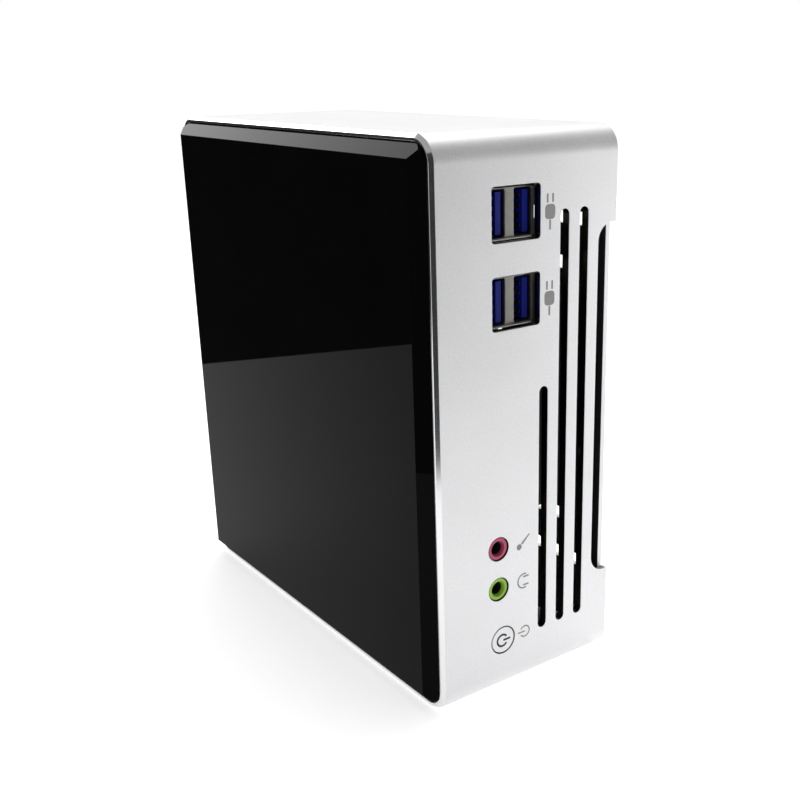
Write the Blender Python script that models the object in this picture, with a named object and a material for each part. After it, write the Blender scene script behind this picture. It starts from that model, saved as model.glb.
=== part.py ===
"""A small desktop computer that stands on edge, built as the pieces it comes apart into.

An aluminium shell runs round the four narrow sides. A bevelled black glass panel closes the front (-Y), a
slotted cover closes the back (+Y), and the board between them carries its ports on the +X and -X walls.

Every size below is in millimetres. make() turns millimetres into metres. The frame's origin is at the middle
of the footprint, +Z is up, and a "depth" is a distance behind the plane of the shell's front lip.
"""

import math

import bmesh
import bpy
from mathutils import Matrix, Vector

MM = 0.001

# Driving dimensions
WIDTH = 142.0
HEIGHT = 155.0
SHELL_DEPTH = 60.5
WALL = 2.0
CORNER = 7.0
GLASS_PROUD = 3.0
FOOT_PROUD = 2.1
GAP = 0.3

MID_Z = HEIGHT / 2
LIP_Y = GLASS_PROUD - (GLASS_PROUD + SHELL_DEPTH + FOOT_PROUD) / 2
OUTER_X = WIDTH / 2
INNER_X = OUTER_X - WALL

# Front lip, glass panel and the tray behind it
LIP_CHAMFER = 1.0
LIP_INSET = 1.8
LEDGE_DEPTH = 4.6
LEDGE_INSET = 3.8
LEDGE_THICK = 1.6
BEVEL_INSET = 5.6
BEVEL_FOOT = 0.3
GLASS_BACK = 1.0
ADHESIVE_THICK = 0.4
TRAY_FRONT = GLASS_BACK + GAP + ADHESIVE_THICK + GAP
TRAY_BACK = LEDGE_DEPTH - GAP
TRAY_PLATE = 2.0
TRAY_RIM = 4.0

# Back cover
COVER_THICK = 1.6
COVER_FRONT = SHELL_DEPTH - COVER_THICK
COVER_INSET = WALL + GAP
ROW_PITCH = 12.9
ROW_HEIGHT = 3.7
BRICK_PITCH = 18.2
BRICK_LENGTH = 14.8
FULL_ROWS_FROM = 3
LAST_ROW = 4
FAN_ROW_REACH = 45.0
SCREW_INSET = 7.6
FOOT_INSET = 17.5

# Ventilation slots in both port walls, and the long notch that lets the cover's edge show
SLOT_WIDTH = 3.0
SLOT_PITCH = 6.8
SLOT_BOTTOM = 15.9
SLOT_TOP = 134.5
SHORT_SLOT_TOP = 88.1
FIRST_SLOT = 35.2
PAD_X = 68.4
PAD_DEPTH = (9.0, 52.4)
PAD_Z = (11.0, 142.0)
NOTCH_BOTTOM = 27.1
NOTCH_TOP = 129.6
NOTCH_CORNER = 5.0
NOTCH_START = FIRST_SLOT + 3 * SLOT_PITCH - SLOT_WIDTH / 2

# Main board, which carries everything between the two port walls
BOARD_FRONT = 15.0
BOARD_THICK = 1.6
BOARD_FACE = BOARD_FRONT + BOARD_THICK
BOARD_X = (-65.7, 65.7)
BOARD_Z = (8.0, 147.0)
SEAT = BOARD_FACE + GAP
BOARD_FIXINGS = ((-58.0, 14.0), (46.0, 14.0), (-48.0, 142.5), (44.0, 142.5))
DRIVE_POST = (-33.0, 126.0)
CELL_PLACE = (-34.0, 96.0)

# What is soldered to the board, each as (x range, height above the board, z range)
CHOKE_HEIGHTS = (54.0, 63.0, 72.0, 81.0)
BOARD_PARTS = (
    *(((-29.0, -21.5), 4.0, (z - 3.7, z + 3.7)) for z in CHOKE_HEIGHTS),
    ((-47.0, -36.0), 1.2, (60.0, 76.0)),
    ((-50.0, -41.0), 1.4, (112.0, 121.0)),
    ((34.0, 46.0), 1.6, (24.0, 36.0)),
    ((-30.0, -18.0), 5.0, (44.6, 48.2)),
    ((41.6, 48.0), 1.0, (107.0, 111.5)),
)
CARD_SOCKET = ((45.2, 49.4), 24.4, (114.0, 138.0))
DRIVE_CARD = (21.4, 22.2)

# Ports: each opening is centred at (depth, height) in its wall
USB_DEPTH = 25.8
USB_HEIGHTS = (134.75, 112.35)
USB_OPENING = (15.8, 14.0)
USB_RISE = -0.1
USB_BODY = (12.6, 16.2)
USB_FRONT = 68.1
USB_PORT = (5.12, 11.6)
USB_PORT_SHIFT = 4.4
USB_TONGUE = (1.84, 10.8)
TONGUE_GAP = 0.7
JACK_DEPTH = 19.55
JACK_HEIGHTS = (44.9, 32.8)
JACK_HOLE = 3.5
JACK_NOSE = 3.2
BUTTON_DEPTH = 21.0
BUTTON_HEIGHT = 16.7
BUTTON_HOLE = 4.2
BUTTON_RADIUS = 3.95
BUTTON_STEM = 6.2
BUTTON_SINK = 5.5
PLUNGER_START = 61.8
DC_DEPTH = 22.4
DC_HEIGHT = 138.0
DC_HOLE = 4.3
VIDEO_DEPTH = 20.2
VIDEO_HEIGHTS = (119.0, 98.0)
NETWORK_DEPTH = 23.8
NETWORK_HEIGHT = 73.0
NETWORK_BODY = (13.4, 16.0)
REAR_USB_HEIGHT = 49.0

# Cooler: processor, heatsink and fan share one axis
COOLER_X = 18.0
COOLER_BASE = 18.6
COOLER_HALF = 31.0
FAN_FRONT = 42.3
FAN_THICK = 15.0
FAN_HALF = 35.0
FAN_BORE = 33.5
FAN_HUB = 15.0
FAN_HOLE = 30.0
BLADES = 9

MATERIALS = {
    "bead_blasted_aluminium": ((0.79, 0.79, 0.80), 0.42, 0.85),
    "black_glass": ((0.004, 0.004, 0.005), 0.03, 0.0),
    "black_plastic": ((0.02, 0.02, 0.022), 0.5, 0.0),
    "black_rubber": ((0.015, 0.015, 0.015), 0.8, 0.0),
    "green_board": ((0.02, 0.09, 0.05), 0.4, 0.0),
    "bright_steel": ((0.62, 0.61, 0.58), 0.28, 1.0),
    "brass": ((0.70, 0.52, 0.22), 0.35, 1.0),
    "blue_plastic": ((0.02, 0.05, 0.45), 0.35, 0.0),
    "pink_plastic": ((0.62, 0.12, 0.22), 0.4, 0.0),
    "lime_plastic": ((0.35, 0.62, 0.08), 0.4, 0.0),
    "raw_aluminium": ((0.70, 0.70, 0.70), 0.35, 1.0),
    "silicon": ((0.10, 0.11, 0.12), 0.3, 0.2),
}


# ---------------------------------------------------------------- building blocks


def clear_scene():
    for old in list(bpy.data.objects):
        bpy.data.objects.remove(old)


def material(name):
    found = bpy.data.materials.get(name)
    if found:
        return found
    colour, roughness, metallic = MATERIALS[name]
    made = bpy.data.materials.new(name)
    made.use_nodes = True
    shader = made.node_tree.nodes["Principled BSDF"]
    shader.inputs["Base Color"].default_value = (*colour, 1.0)
    shader.inputs["Roughness"].default_value = roughness
    shader.inputs["Metallic"].default_value = metallic
    return made


def make(name, bm, finish, at=(0.0, 0.0, 0.0), turn=(0.0, 0.0, 0.0)):
    """Turns a mesh in millimetres into an object in metres, smooth where its faces nearly line up."""
    bmesh.ops.remove_doubles(bm, verts=bm.verts, dist=0.0005)
    bmesh.ops.recalc_face_normals(bm, faces=bm.faces)
    bmesh.ops.scale(bm, vec=(MM, MM, MM), verts=bm.verts)
    mesh = bpy.data.meshes.new(name)
    bm.to_mesh(mesh)
    bm.free()
    mesh.shade_smooth()
    mesh.set_sharp_from_angle(angle=math.radians(35))
    if finish:
        mesh.materials.append(material(finish))
    obj = bpy.data.objects.new(name, mesh)
    obj.location = Vector(at) * MM
    obj.rotation_euler = [math.radians(angle) for angle in turn]
    bpy.context.scene.collection.objects.link(obj)
    return obj


def boolean(obj, operation, bm):
    """Adds a Boolean whose tool is a hidden guide object beside the piece, in the piece's own frame."""
    tool = make(f"{obj.name}_{operation.lower()}_tool", bm, None)
    tool.parent = obj
    tool.hide_render = True
    tool.display_type = "WIRE"
    modifier = obj.modifiers.new(operation.title(), "BOOLEAN")
    modifier.operation = operation
    modifier.object = tool
    return obj


def cut(obj, bm):
    return boolean(obj, "DIFFERENCE", bm)


def fuse(obj, bm):
    return boolean(obj, "UNION", bm)


def rounded(half_u, half_v, radius, centre=(0.0, 0.0), steps=5):
    """A rectangle with round corners, as points going anticlockwise."""
    points = []
    for quarter, (u, v) in enumerate(((1, -1), (1, 1), (-1, 1), (-1, -1))):
        middle = (u * (half_u - radius), v * (half_v - radius))
        for step in range(steps + 1):
            angle = math.radians(90 * (quarter - 1) + 90 * step / steps)
            point = (
                centre[0] + middle[0] + radius * math.cos(angle),
                centre[1] + middle[1] + radius * math.sin(angle),
            )
            if not points or math.dist(point, points[-1]) > 0.001:
                points.append(point)
    if math.dist(points[0], points[-1]) < 0.001:
        points.pop()
    return points


def circle(radius, centre=(0.0, 0.0), sides=20):
    turns = [2 * math.pi * k / sides for k in range(sides)]
    return [(centre[0] + radius * math.cos(a), centre[1] + radius * math.sin(a)) for a in turns]


def prism(bm, points, along):
    """Closes the loop of points with a face and extrudes it along a vector."""
    face = bm.faces.new([bm.verts.new(point) for point in points])
    grown = bmesh.ops.extrude_face_region(bm, geom=[face])["geom"]
    moved = [v for v in grown if isinstance(v, bmesh.types.BMVert)]
    bmesh.ops.translate(bm, verts=moved, vec=along)
    return bm


def slab(bm, outline, front, back):
    """A plate across the case: its outline is in (x, z), and it fills the depths from front to back."""
    prism(bm, [(x, LIP_Y + front, z) for x, z in outline], (0, back - front, 0))
    return bm


def bar(bm, outline, x_low, x_high):
    """A solid along X: its outline is in (depth, z)."""
    prism(bm, [(x_low, LIP_Y + depth, z) for depth, z in outline], (x_high - x_low, 0, 0))
    return bm


def block(bm, x, depth, z):
    """A box between the low and high values of x, depth and z."""
    y = (LIP_Y + depth[0], LIP_Y + depth[1])
    middle = Vector([(side[0] + side[1]) / 2 for side in (x, y, z)])
    size = [abs(side[1] - side[0]) for side in (x, y, z)]
    bmesh.ops.create_cube(bm, size=1.0, matrix=Matrix.Translation(middle) @ Matrix.Diagonal((*size, 1.0)))
    return bm


def turned(profile, sides=16):
    """Spins a profile of (radius, height) points round Z. It starts and ends on the axis."""
    bm = bmesh.new()
    points = [bm.verts.new((radius, 0.0, height)) for radius, height in profile]
    edges = [bm.edges.new(pair) for pair in zip(points, points[1:])]
    bmesh.ops.spin(
        bm, geom=points + edges, axis=(0, 0, 1), cent=(0, 0, 0), angle=2 * math.pi, steps=sides,
        use_merge=True,
    )
    bmesh.ops.remove_doubles(bm, verts=bm.verts, dist=0.001)
    return bm


def shell_outline(inset, steps=6):
    """The case's outline in (x, z), moved inwards."""
    radius = max(CORNER - inset, 0.5)
    return rounded(OUTER_X - inset, MID_Z - inset, radius, (0.0, MID_Z), steps)


def swept_ring(stations):
    """Sweeps a closed section round the case. Each station is (inset from the outside, depth)."""
    bm = bmesh.new()
    loops = []
    for inset, depth in stations:
        loops.append([bm.verts.new((x, LIP_Y + depth, z)) for x, z in shell_outline(inset)])
    for here, there in zip(loops, loops[1:] + loops[:1]):
        for k, corner in enumerate(here):
            after = (k + 1) % len(here)
            bm.faces.new((corner, here[after], there[after], there[k]))
    return bm


def cross_outline(reach, half_width):
    """A plus sign, for the recess of a cross-head screw."""
    arm = ((reach, -half_width), (reach, half_width), (half_width, half_width))
    points = []
    for quarter in range(4):
        spin = Matrix.Rotation(math.pi / 2 * quarter, 2)
        points += [tuple(spin @ Vector(corner)) for corner in arm]
    return points


def screw(name, at, turn, head, shank, finish="bright_steel"):
    """A cross-head screw pointing up its own Z. head and shank are (radius, length); the seat is at z = 0."""
    head_radius, head_height = head
    shank_radius, length = shank
    profile = (
        (0.0, -length),
        (shank_radius, -length),
        (shank_radius, 0.0),
        (head_radius, 0.0),
        (head_radius, head_height * 0.6),
        (head_radius * 0.72, head_height),
        (0.0, head_height),
    )
    made = make(name, turned(profile, 10), finish, at, turn)
    recess = [(x, y, head_height * 0.35) for x, y in cross_outline(head_radius * 0.55, head_radius * 0.13)]
    return cut(made, prism(bmesh.new(), recess, (0, 0, head_height)))


# ---------------------------------------------------------------- case


def vent_outlines(wall_sign):
    """The slots of one port wall, in (depth, z). Only the +X wall has the short third slot."""
    rows = [(FIRST_SLOT + SLOT_PITCH, SLOT_TOP), (FIRST_SLOT + 2 * SLOT_PITCH, SLOT_TOP)]
    if wall_sign > 0:
        rows.append((FIRST_SLOT, SHORT_SLOT_TOP))
    outlines = []
    for depth, top in rows:
        middle = (SLOT_BOTTOM + top) / 2
        half = (top - SLOT_BOTTOM) / 2
        outlines.append(rounded(SLOT_WIDTH / 2, half, SLOT_WIDTH / 2, (depth, middle), 4))
    return outlines


def notch_outline():
    """The long notch in the back edge of a port wall, which runs out past the rim."""
    reach = 2 * (SHELL_DEPTH - NOTCH_START)
    half = (NOTCH_TOP - NOTCH_BOTTOM) / 2
    centre = (NOTCH_START + reach / 2, (NOTCH_TOP + NOTCH_BOTTOM) / 2)
    return rounded(reach / 2, half, NOTCH_CORNER, centre, 5)


def video_outline(height, grow=0.0):
    """The flat-topped socket shape of a video port, in (depth, z)."""
    half, top, bottom, shoulder = 7.1 + grow, 2.3 + grow, 2.3 + grow, 5.3 + grow * 0.6
    corners = ((-top, -half), (-top, half), (0.5, half), (bottom, shoulder), (bottom, -shoulder),
               (0.5, -half))
    return [(VIDEO_DEPTH + depth, height + z) for depth, z in corners]


def front_port_outlines():
    """Openings in the +X wall: two pairs of ports, two audio jacks and the power button."""
    half_depth, half_height = USB_OPENING[0] / 2, USB_OPENING[1] / 2
    outlines = [rounded(half_depth, half_height, 1.0, (USB_DEPTH, z), 3) for z in USB_HEIGHTS]
    outlines += [circle(JACK_HOLE, (JACK_DEPTH, z), 24) for z in JACK_HEIGHTS]
    outlines.append(circle(BUTTON_HOLE, (BUTTON_DEPTH, BUTTON_HEIGHT), 28))
    return outlines


def rear_port_outlines():
    """Openings in the -X wall: power inlet, two video ports, network and a pair of ports."""
    outlines = [circle(DC_HOLE, (DC_DEPTH, DC_HEIGHT), 24)]
    outlines += [video_outline(z, 0.9) for z in VIDEO_HEIGHTS]
    outlines.append(rounded(NETWORK_BODY[0] / 2 + 0.5, NETWORK_BODY[1] / 2 + 0.5, 0.8,
                            (NETWORK_DEPTH, NETWORK_HEIGHT), 3))
    low, high = SEAT - 0.5, USB_DEPTH + USB_BODY[1] / 2 + 0.5
    outlines.append(rounded((high - low) / 2, USB_BODY[0] / 2 + 0.5, 0.8,
                            ((low + high) / 2, REAR_USB_HEIGHT), 3))
    return outlines


def cover_corners(inset):
    """(x, z) of a point near each corner of the case, as far in from both sides."""
    return [(sx * (OUTER_X - inset), MID_Z + sz * (MID_Z - inset)) for sx in (-1, 1) for sz in (-1, 1)]


def shell():
    """The case's walls, thicker round the ports, with a ledge for the front panel and posts for the cover."""
    section = (
        (LIP_CHAMFER, 0.0),
        (LIP_INSET, 0.0),
        (LIP_INSET, LEDGE_DEPTH),
        (LEDGE_INSET, LEDGE_DEPTH),
        (LEDGE_INSET, LEDGE_DEPTH + LEDGE_THICK),
        (WALL, LEDGE_DEPTH + LEDGE_THICK),
        (WALL, SHELL_DEPTH),
        (0.0, SHELL_DEPTH),
        (0.0, LIP_CHAMFER),
    )
    made = make("shell", swept_ring(section), "bead_blasted_aluminium")
    boss_low, boss_high, boss_start = 2.6, 11.5, 49.0
    bosses = bmesh.new()
    for sx in (-1, 1):
        for sz in (-1, 1):
            x = [sx * (OUTER_X - inset) for inset in (boss_low, boss_high)]
            z = [MID_Z + sz * (MID_Z - inset) for inset in (boss_low, boss_high)]
            block(bosses, x, (boss_start, COVER_FRONT - GAP), z)
        block(bosses, (sx * PAD_X, sx * (INNER_X + 0.5)), PAD_DEPTH, PAD_Z)
    fuse(made, bosses)
    holes = bmesh.new()
    for outline in front_port_outlines():
        bar(holes, outline, INNER_X - 1, OUTER_X + 1)
    for outline in rear_port_outlines():
        bar(holes, outline, -OUTER_X - 1, 1 - INNER_X)
    for sign in (-1, 1):
        for outline in [*vent_outlines(sign), notch_outline()]:
            bar(holes, outline, sign * (INNER_X - 1), sign * (OUTER_X + 1))
    for x, z in cover_corners(SCREW_INSET):
        slab(holes, circle(1.8, (x, z), 12), boss_start + 1.0, SHELL_DEPTH)
    cut(made, holes)
    sink = circle(BUTTON_SINK, (BUTTON_DEPTH, BUTTON_HEIGHT), 28)
    return cut(made, bar(bmesh.new(), sink, INNER_X - 1, INNER_X))


def glass_panel():
    """A thick pane whose front edge is ground to four flat bevels that meet in mitres."""
    edge = LIP_INSET + GAP
    pane = slab(bmesh.new(), shell_outline(edge), -GLASS_PROUD, GLASS_BACK)
    made = make("glass_panel", pane, "black_glass")
    slope = (BEVEL_INSET - edge) / (BEVEL_FOOT + GLASS_PROUD)
    back = GLASS_BACK + 0.4
    back_inset = edge - slope * (back - BEVEL_FOOT)
    frustum = bmesh.new()
    loops = []
    for inset, depth in ((BEVEL_INSET, -GLASS_PROUD), (back_inset, back)):
        half_x, half_z = OUTER_X - inset, MID_Z - inset
        corners = ((-half_x, -half_z), (half_x, -half_z), (half_x, half_z), (-half_x, half_z))
        loops.append([frustum.verts.new((x, LIP_Y + depth, MID_Z + z)) for x, z in corners])
    front, rear = loops
    frustum.faces.new(front)
    frustum.faces.new(rear)
    for k in range(4):
        after = (k + 1) % 4
        frustum.faces.new((front[k], front[after], rear[after], rear[k]))
    return boolean(made, "INTERSECT", frustum)


def panel_adhesive():
    """The thin sheet that sticks the pane to its tray."""
    outline = shell_outline(LIP_INSET + 2.0, 3)
    start = GLASS_BACK + GAP
    return make("panel_adhesive", slab(bmesh.new(), outline, start, start + ADHESIVE_THICK), "black_rubber")


def panel_tray():
    """The moulded tray that the glass is stuck to and that the board's standoffs rise from."""
    outline = shell_outline(LIP_INSET + GAP, 4)
    made = make("panel_tray", slab(bmesh.new(), outline, TRAY_FRONT, TRAY_BACK), "black_plastic")
    hollow = shell_outline(LIP_INSET + GAP + TRAY_RIM, 3)
    cut(made, slab(bmesh.new(), hollow, TRAY_FRONT + TRAY_PLATE, TRAY_BACK + 1))
    return made


def cover_slots():
    """The middle (x, z) of every vent slot in the cover, laid like bricks.

    The rows over the fan stop short of the sides.
    """
    slots = []
    for row in range(-LAST_ROW, LAST_ROW + 1):
        reach = OUTER_X if abs(row) >= FULL_ROWS_FROM else FAN_ROW_REACH
        shift = 0.5 if row % 2 else 0.0
        for k in range(-4, 4):
            x = (k + shift) * BRICK_PITCH
            if abs(x) + BRICK_LENGTH / 2 < reach - COVER_INSET:
                slots.append((x, MID_Z + row * ROW_PITCH))
    return slots


def back_cover():
    plate = slab(bmesh.new(), shell_outline(COVER_INSET, 4), COVER_FRONT, SHELL_DEPTH)
    made = make("back_cover", plate, "bead_blasted_aluminium")
    holes = bmesh.new()
    through = (COVER_FRONT - 1, SHELL_DEPTH + 1)
    for middle in cover_slots():
        slab(holes, rounded(BRICK_LENGTH / 2, ROW_HEIGHT / 2, ROW_HEIGHT / 2, middle, 2), *through)
    for x, z in cover_corners(FOOT_INSET):
        slab(holes, circle(1.9, (x, z), 12), *through)
    cut(made, holes)
    sinks = bmesh.new()
    for x, z in cover_corners(SCREW_INSET):
        rings = [
            [sinks.verts.new((px, LIP_Y + depth, pz)) for px, pz in circle(radius, (x, z), 16)]
            for radius, depth in ((1.0, COVER_FRONT - 0.8), (4.1, SHELL_DEPTH + 0.75))
        ]
        sinks.faces.new(rings[0])
        sinks.faces.new(rings[1])
        for k in range(16):
            after = (k + 1) % 16
            sinks.faces.new((rings[0][k], rings[0][after], rings[1][after], rings[1][k]))
    return cut(made, sinks)


def cover_screws():
    """Countersunk screws into the shell's corner bosses."""
    profile = ((0.0, -9.5), (1.45, -9.5), (1.45, -1.35), (2.75, -0.05), (0.0, -0.05))
    for number, (x, z) in enumerate(cover_corners(SCREW_INSET), 1):
        made = make(f"cover_screw_{number}", turned(profile, 12), "bright_steel",
                    (x, LIP_Y + SHELL_DEPTH, z), (-90, 0, 0))
        recess = [(px, py, -1.0) for px, py in cross_outline(1.5, 0.35)]
        cut(made, prism(bmesh.new(), recess, (0, 0, 2.0)))


def rubber_feet():
    """Push-in feet: a domed pad outside, a stem through the cover and a barb behind it."""
    profile = (
        (0.0, -3.6),
        (1.0, -3.6),
        (2.4, -2.0),
        (1.55, -1.9),
        (1.55, GAP),
        (5.5, GAP),
        (5.5, FOOT_PROUD - 0.6),
        (4.9, FOOT_PROUD),
        (0.0, FOOT_PROUD),
    )
    for number, (x, z) in enumerate(cover_corners(FOOT_INSET), 1):
        make(f"rubber_foot_{number}", turned(profile, 14), "black_rubber",
             (x, LIP_Y + SHELL_DEPTH, z), (-90, 0, 0))


# ---------------------------------------------------------------- board and what is soldered to it


def mainboard():
    """The board, with its soldered parts fused to it: chokes, chips, headers, the cell's holder, the drive's post
    and the double socket that both cards plug into.
    """
    plate = block(bmesh.new(), BOARD_X, (BOARD_FRONT, BOARD_FACE), BOARD_Z)
    made = make("mainboard", plate, "green_board")
    root = BOARD_FACE - 0.2
    parts = bmesh.new()
    for x, height, z in BOARD_PARTS:
        block(parts, x, (root, BOARD_FACE + height), z)
    slab(parts, circle(11.0, CELL_PLACE, 20), root, BOARD_FACE + 0.8)
    slab(parts, circle(2.4, DRIVE_POST, 12), root, DRIVE_CARD[0] - GAP)
    socket_x, socket_top, socket_z = CARD_SOCKET
    block(parts, socket_x, (root, socket_top), socket_z)
    fuse(made, parts)
    holes = bmesh.new()
    for x, z in BOARD_FIXINGS:
        slab(holes, circle(1.8, (x, z), 12), BOARD_FRONT - 1, BOARD_FACE + 1)
    for x, z in heatsink_fixings():
        slab(holes, circle(1.6, (x, z), 12), BOARD_FRONT - 1, BOARD_FACE + 1)
    slab(holes, circle(1.3, DRIVE_POST, 10), BOARD_FACE + 0.4, DRIVE_CARD[1])
    block(holes, (44.4, 47.6), (21.0, 22.7), (114.6, 137.4))
    block(holes, (44.4, 47.6), (17.6, 19.1), (114.6, 137.4))
    return cut(made, holes)


def board_fixings():
    """Hexagon standoffs on the tray, and the screws that hold the board to them."""
    length = BOARD_FRONT - GAP - (TRAY_FRONT + TRAY_PLATE + GAP)
    for number, (x, z) in enumerate(BOARD_FIXINGS, 1):
        start = LIP_Y + TRAY_FRONT + TRAY_PLATE + GAP
        pillar = prism(bmesh.new(), [(px, py, 0.0) for px, py in circle(3.0, sides=6)], (0, 0, length))
        made = make(f"standoff_{number}", pillar, "brass", (x, start, z), (-90, 0, 0))
        bore = [(px, py, length - 6.0) for px, py in circle(1.7, sides=12)]
        cut(made, prism(bmesh.new(), bore, (0, 0, 8.0)))
        screw(f"board_screw_{number}", (x, LIP_Y + SEAT, z), (-90, 0, 0), (2.7, 1.7), (1.4, 6.0))


def port_pair(prefix, height, front_x, sign, tongue_finish):
    """Two stacked ports in one steel shell. front_x is where its mouth is, and sign the way it faces."""
    length = 16.5
    back_x = front_x - sign * length
    half_z, half_depth = USB_BODY[0] / 2, USB_BODY[1] / 2
    body = block(bmesh.new(), (front_x, back_x), (SEAT, USB_DEPTH + half_depth),
                 (height - half_z, height + half_z))
    steel = make(f"{prefix}_shell", body, "bright_steel")
    rear_x = back_x + sign * 0.6
    cavity_x = back_x + sign * 4.2
    inner_z = (height - USB_PORT[1] / 2, height + USB_PORT[1] / 2)
    reach = USB_PORT_SHIFT + USB_PORT[0] / 2
    room = block(bmesh.new(), (rear_x, cavity_x), (USB_DEPTH - reach, USB_DEPTH + reach), inner_z)
    cut(steel, room)
    mouths = bmesh.new()
    for shift in (-USB_PORT_SHIFT, USB_PORT_SHIFT):
        low = USB_DEPTH + shift - USB_PORT[0] / 2
        block(mouths, (cavity_x - sign * 0.5, front_x + sign), (low, low + USB_PORT[0]), inner_z)
    cut(steel, mouths)
    spine_z = (inner_z[0] + GAP, inner_z[1] - GAP)
    spine = block(bmesh.new(), (rear_x + sign * GAP, cavity_x - sign * GAP),
                  (USB_DEPTH - reach + GAP, USB_DEPTH + reach - GAP), spine_z)
    plastic = make(f"{prefix}_tongues", spine, tongue_finish)
    tongues = bmesh.new()
    for shift in (-USB_PORT_SHIFT, USB_PORT_SHIFT):
        top = USB_DEPTH + shift + USB_PORT[0] / 2 - TONGUE_GAP
        block(tongues, (rear_x + sign, front_x - sign * 0.3), (top - USB_TONGUE[0], top),
              (height - USB_TONGUE[1] / 2, height + USB_TONGUE[1] / 2))
    return fuse(plastic, tongues)


def audio_jack(name, height, finish):
    """A socket whose round nose fills the hole in the wall."""
    body = block(bmesh.new(), (54.5, 66.6), (SEAT, 22.4), (height - 3.1, height + 3.1))
    made = make(name, body, finish)
    fuse(made, bar(bmesh.new(), circle(JACK_NOSE, (JACK_DEPTH, height), 24), 66.0, OUTER_X - 0.35))
    fuse(made, block(bmesh.new(), (62.0, 66.6), (SEAT, 22.9), (height - 3.4, height + 3.4)))
    return cut(made, bar(bmesh.new(), circle(1.8, (JACK_DEPTH, height), 16), 57.5, OUTER_X + 1))


def power_button():
    """A flush cap with a flange that keeps it behind the wall and a stem towards its switch."""
    profile = (
        (0.0, -BUTTON_STEM),
        (1.4, -BUTTON_STEM),
        (1.4, -3.8),
        (5.0, -3.8),
        (5.0, -WALL - GAP),
        (BUTTON_RADIUS, -WALL - GAP),
        (BUTTON_RADIUS, -0.3),
        (BUTTON_RADIUS - 0.25, -0.05),
        (0.0, -0.05),
    )
    return make("power_button", turned(profile, 24), "bead_blasted_aluminium",
                (OUTER_X, LIP_Y + BUTTON_DEPTH, BUTTON_HEIGHT), (0, 90, 0))


def power_switch():
    """The switch on the board, and the plunger that the button's stem presses into it."""
    half = 3.2
    body = block(bmesh.new(), (57.6, 62.6), (SEAT, BUTTON_DEPTH + half),
                 (BUTTON_HEIGHT - half, BUTTON_HEIGHT + half))
    made = make("power_switch", body, "black_plastic")
    cut(made, bar(bmesh.new(), circle(1.8, (BUTTON_DEPTH, BUTTON_HEIGHT), 12), 60.9, 63.0))
    plunger = [(0.0, y, z) for y, z in circle(1.5, sides=12)]
    reach = OUTER_X - BUTTON_STEM - GAP - PLUNGER_START
    make("switch_plunger", prism(bmesh.new(), plunger, (reach, 0, 0)), "black_plastic",
         (PLUNGER_START, LIP_Y + BUTTON_DEPTH, BUTTON_HEIGHT))
    return made


def power_inlet():
    """A barrel socket with its centre pin."""
    mouth = -OUTER_X + 0.4
    body = block(bmesh.new(), (-55.5, -67.6), (SEAT, DC_DEPTH + 5.2), (DC_HEIGHT - 4.8, DC_HEIGHT + 4.8))
    made = make("power_inlet", body, "black_plastic")
    fuse(made, bar(bmesh.new(), circle(DC_HOLE - 0.35, (DC_DEPTH, DC_HEIGHT), 24), -66.5, mouth))
    cut(made, bar(bmesh.new(), circle(3.1, (DC_DEPTH, DC_HEIGHT), 20), -61.0, mouth - 1))
    return fuse(made, bar(bmesh.new(), circle(1.05, (DC_DEPTH, DC_HEIGHT), 12), -60.0, mouth + 1.6))


def video_port(number, height):
    """A flat socket with its contact tongue."""
    mouth, back = -OUTER_X + 0.5, -59.0
    can = bar(bmesh.new(), video_outline(height), back, mouth)
    made = make(f"video_port_{number}", can, "bright_steel")
    cut(made, bar(bmesh.new(), video_outline(height, -0.5), back - 0.8, mouth - 1))
    tongue = block(bmesh.new(), (back - 0.4, mouth + 1.0), (VIDEO_DEPTH - 0.5, VIDEO_DEPTH + 0.5),
                   (height - 5.4, height + 5.4))
    return fuse(made, tongue)


def network_jack():
    mouth = -OUTER_X + 0.4
    half_depth, half_z = NETWORK_BODY[0] / 2, NETWORK_BODY[1] / 2
    body = block(bmesh.new(), (-50.0, mouth), (NETWORK_DEPTH - half_depth, NETWORK_DEPTH + half_depth),
                 (NETWORK_HEIGHT - half_z, NETWORK_HEIGHT + half_z))
    made = make("network_jack", body, "bright_steel")
    steps = (
        (NETWORK_DEPTH - 2.6, NETWORK_HEIGHT - 5.9),
        (NETWORK_DEPTH + 5.2, NETWORK_HEIGHT - 5.9),
        (NETWORK_DEPTH + 5.2, NETWORK_HEIGHT + 5.9),
        (NETWORK_DEPTH - 2.6, NETWORK_HEIGHT + 5.9),
        (NETWORK_DEPTH - 2.6, NETWORK_HEIGHT + 3.0),
        (NETWORK_DEPTH - 4.4, NETWORK_HEIGHT + 3.0),
        (NETWORK_DEPTH - 4.4, NETWORK_HEIGHT - 3.0),
        (NETWORK_DEPTH - 2.6, NETWORK_HEIGHT - 3.0),
    )
    return cut(made, bar(bmesh.new(), steps, -57.5, mouth - 1))


# ---------------------------------------------------------------- cooler


def heatsink_fixings():
    return [(COOLER_X + sx * 18.0, MID_Z + sz * 27.0) for sx in (-1, 1) for sz in (-1, 1)]


def fan_fixings():
    return [(COOLER_X + sx * FAN_HOLE, MID_Z - sx * FAN_HOLE) for sx in (-1, 1)]


def processor():
    body = block(bmesh.new(), (COOLER_X - 21, COOLER_X + 21), (SEAT, SEAT + 0.8), (MID_Z - 12, MID_Z + 12))
    made = make("processor", body, "green_board")
    die = block(bmesh.new(), (COOLER_X - 9, COOLER_X + 9), (SEAT + 0.4, COOLER_BASE - GAP),
                (MID_Z - 6, MID_Z + 6))
    return fuse(made, die)


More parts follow.
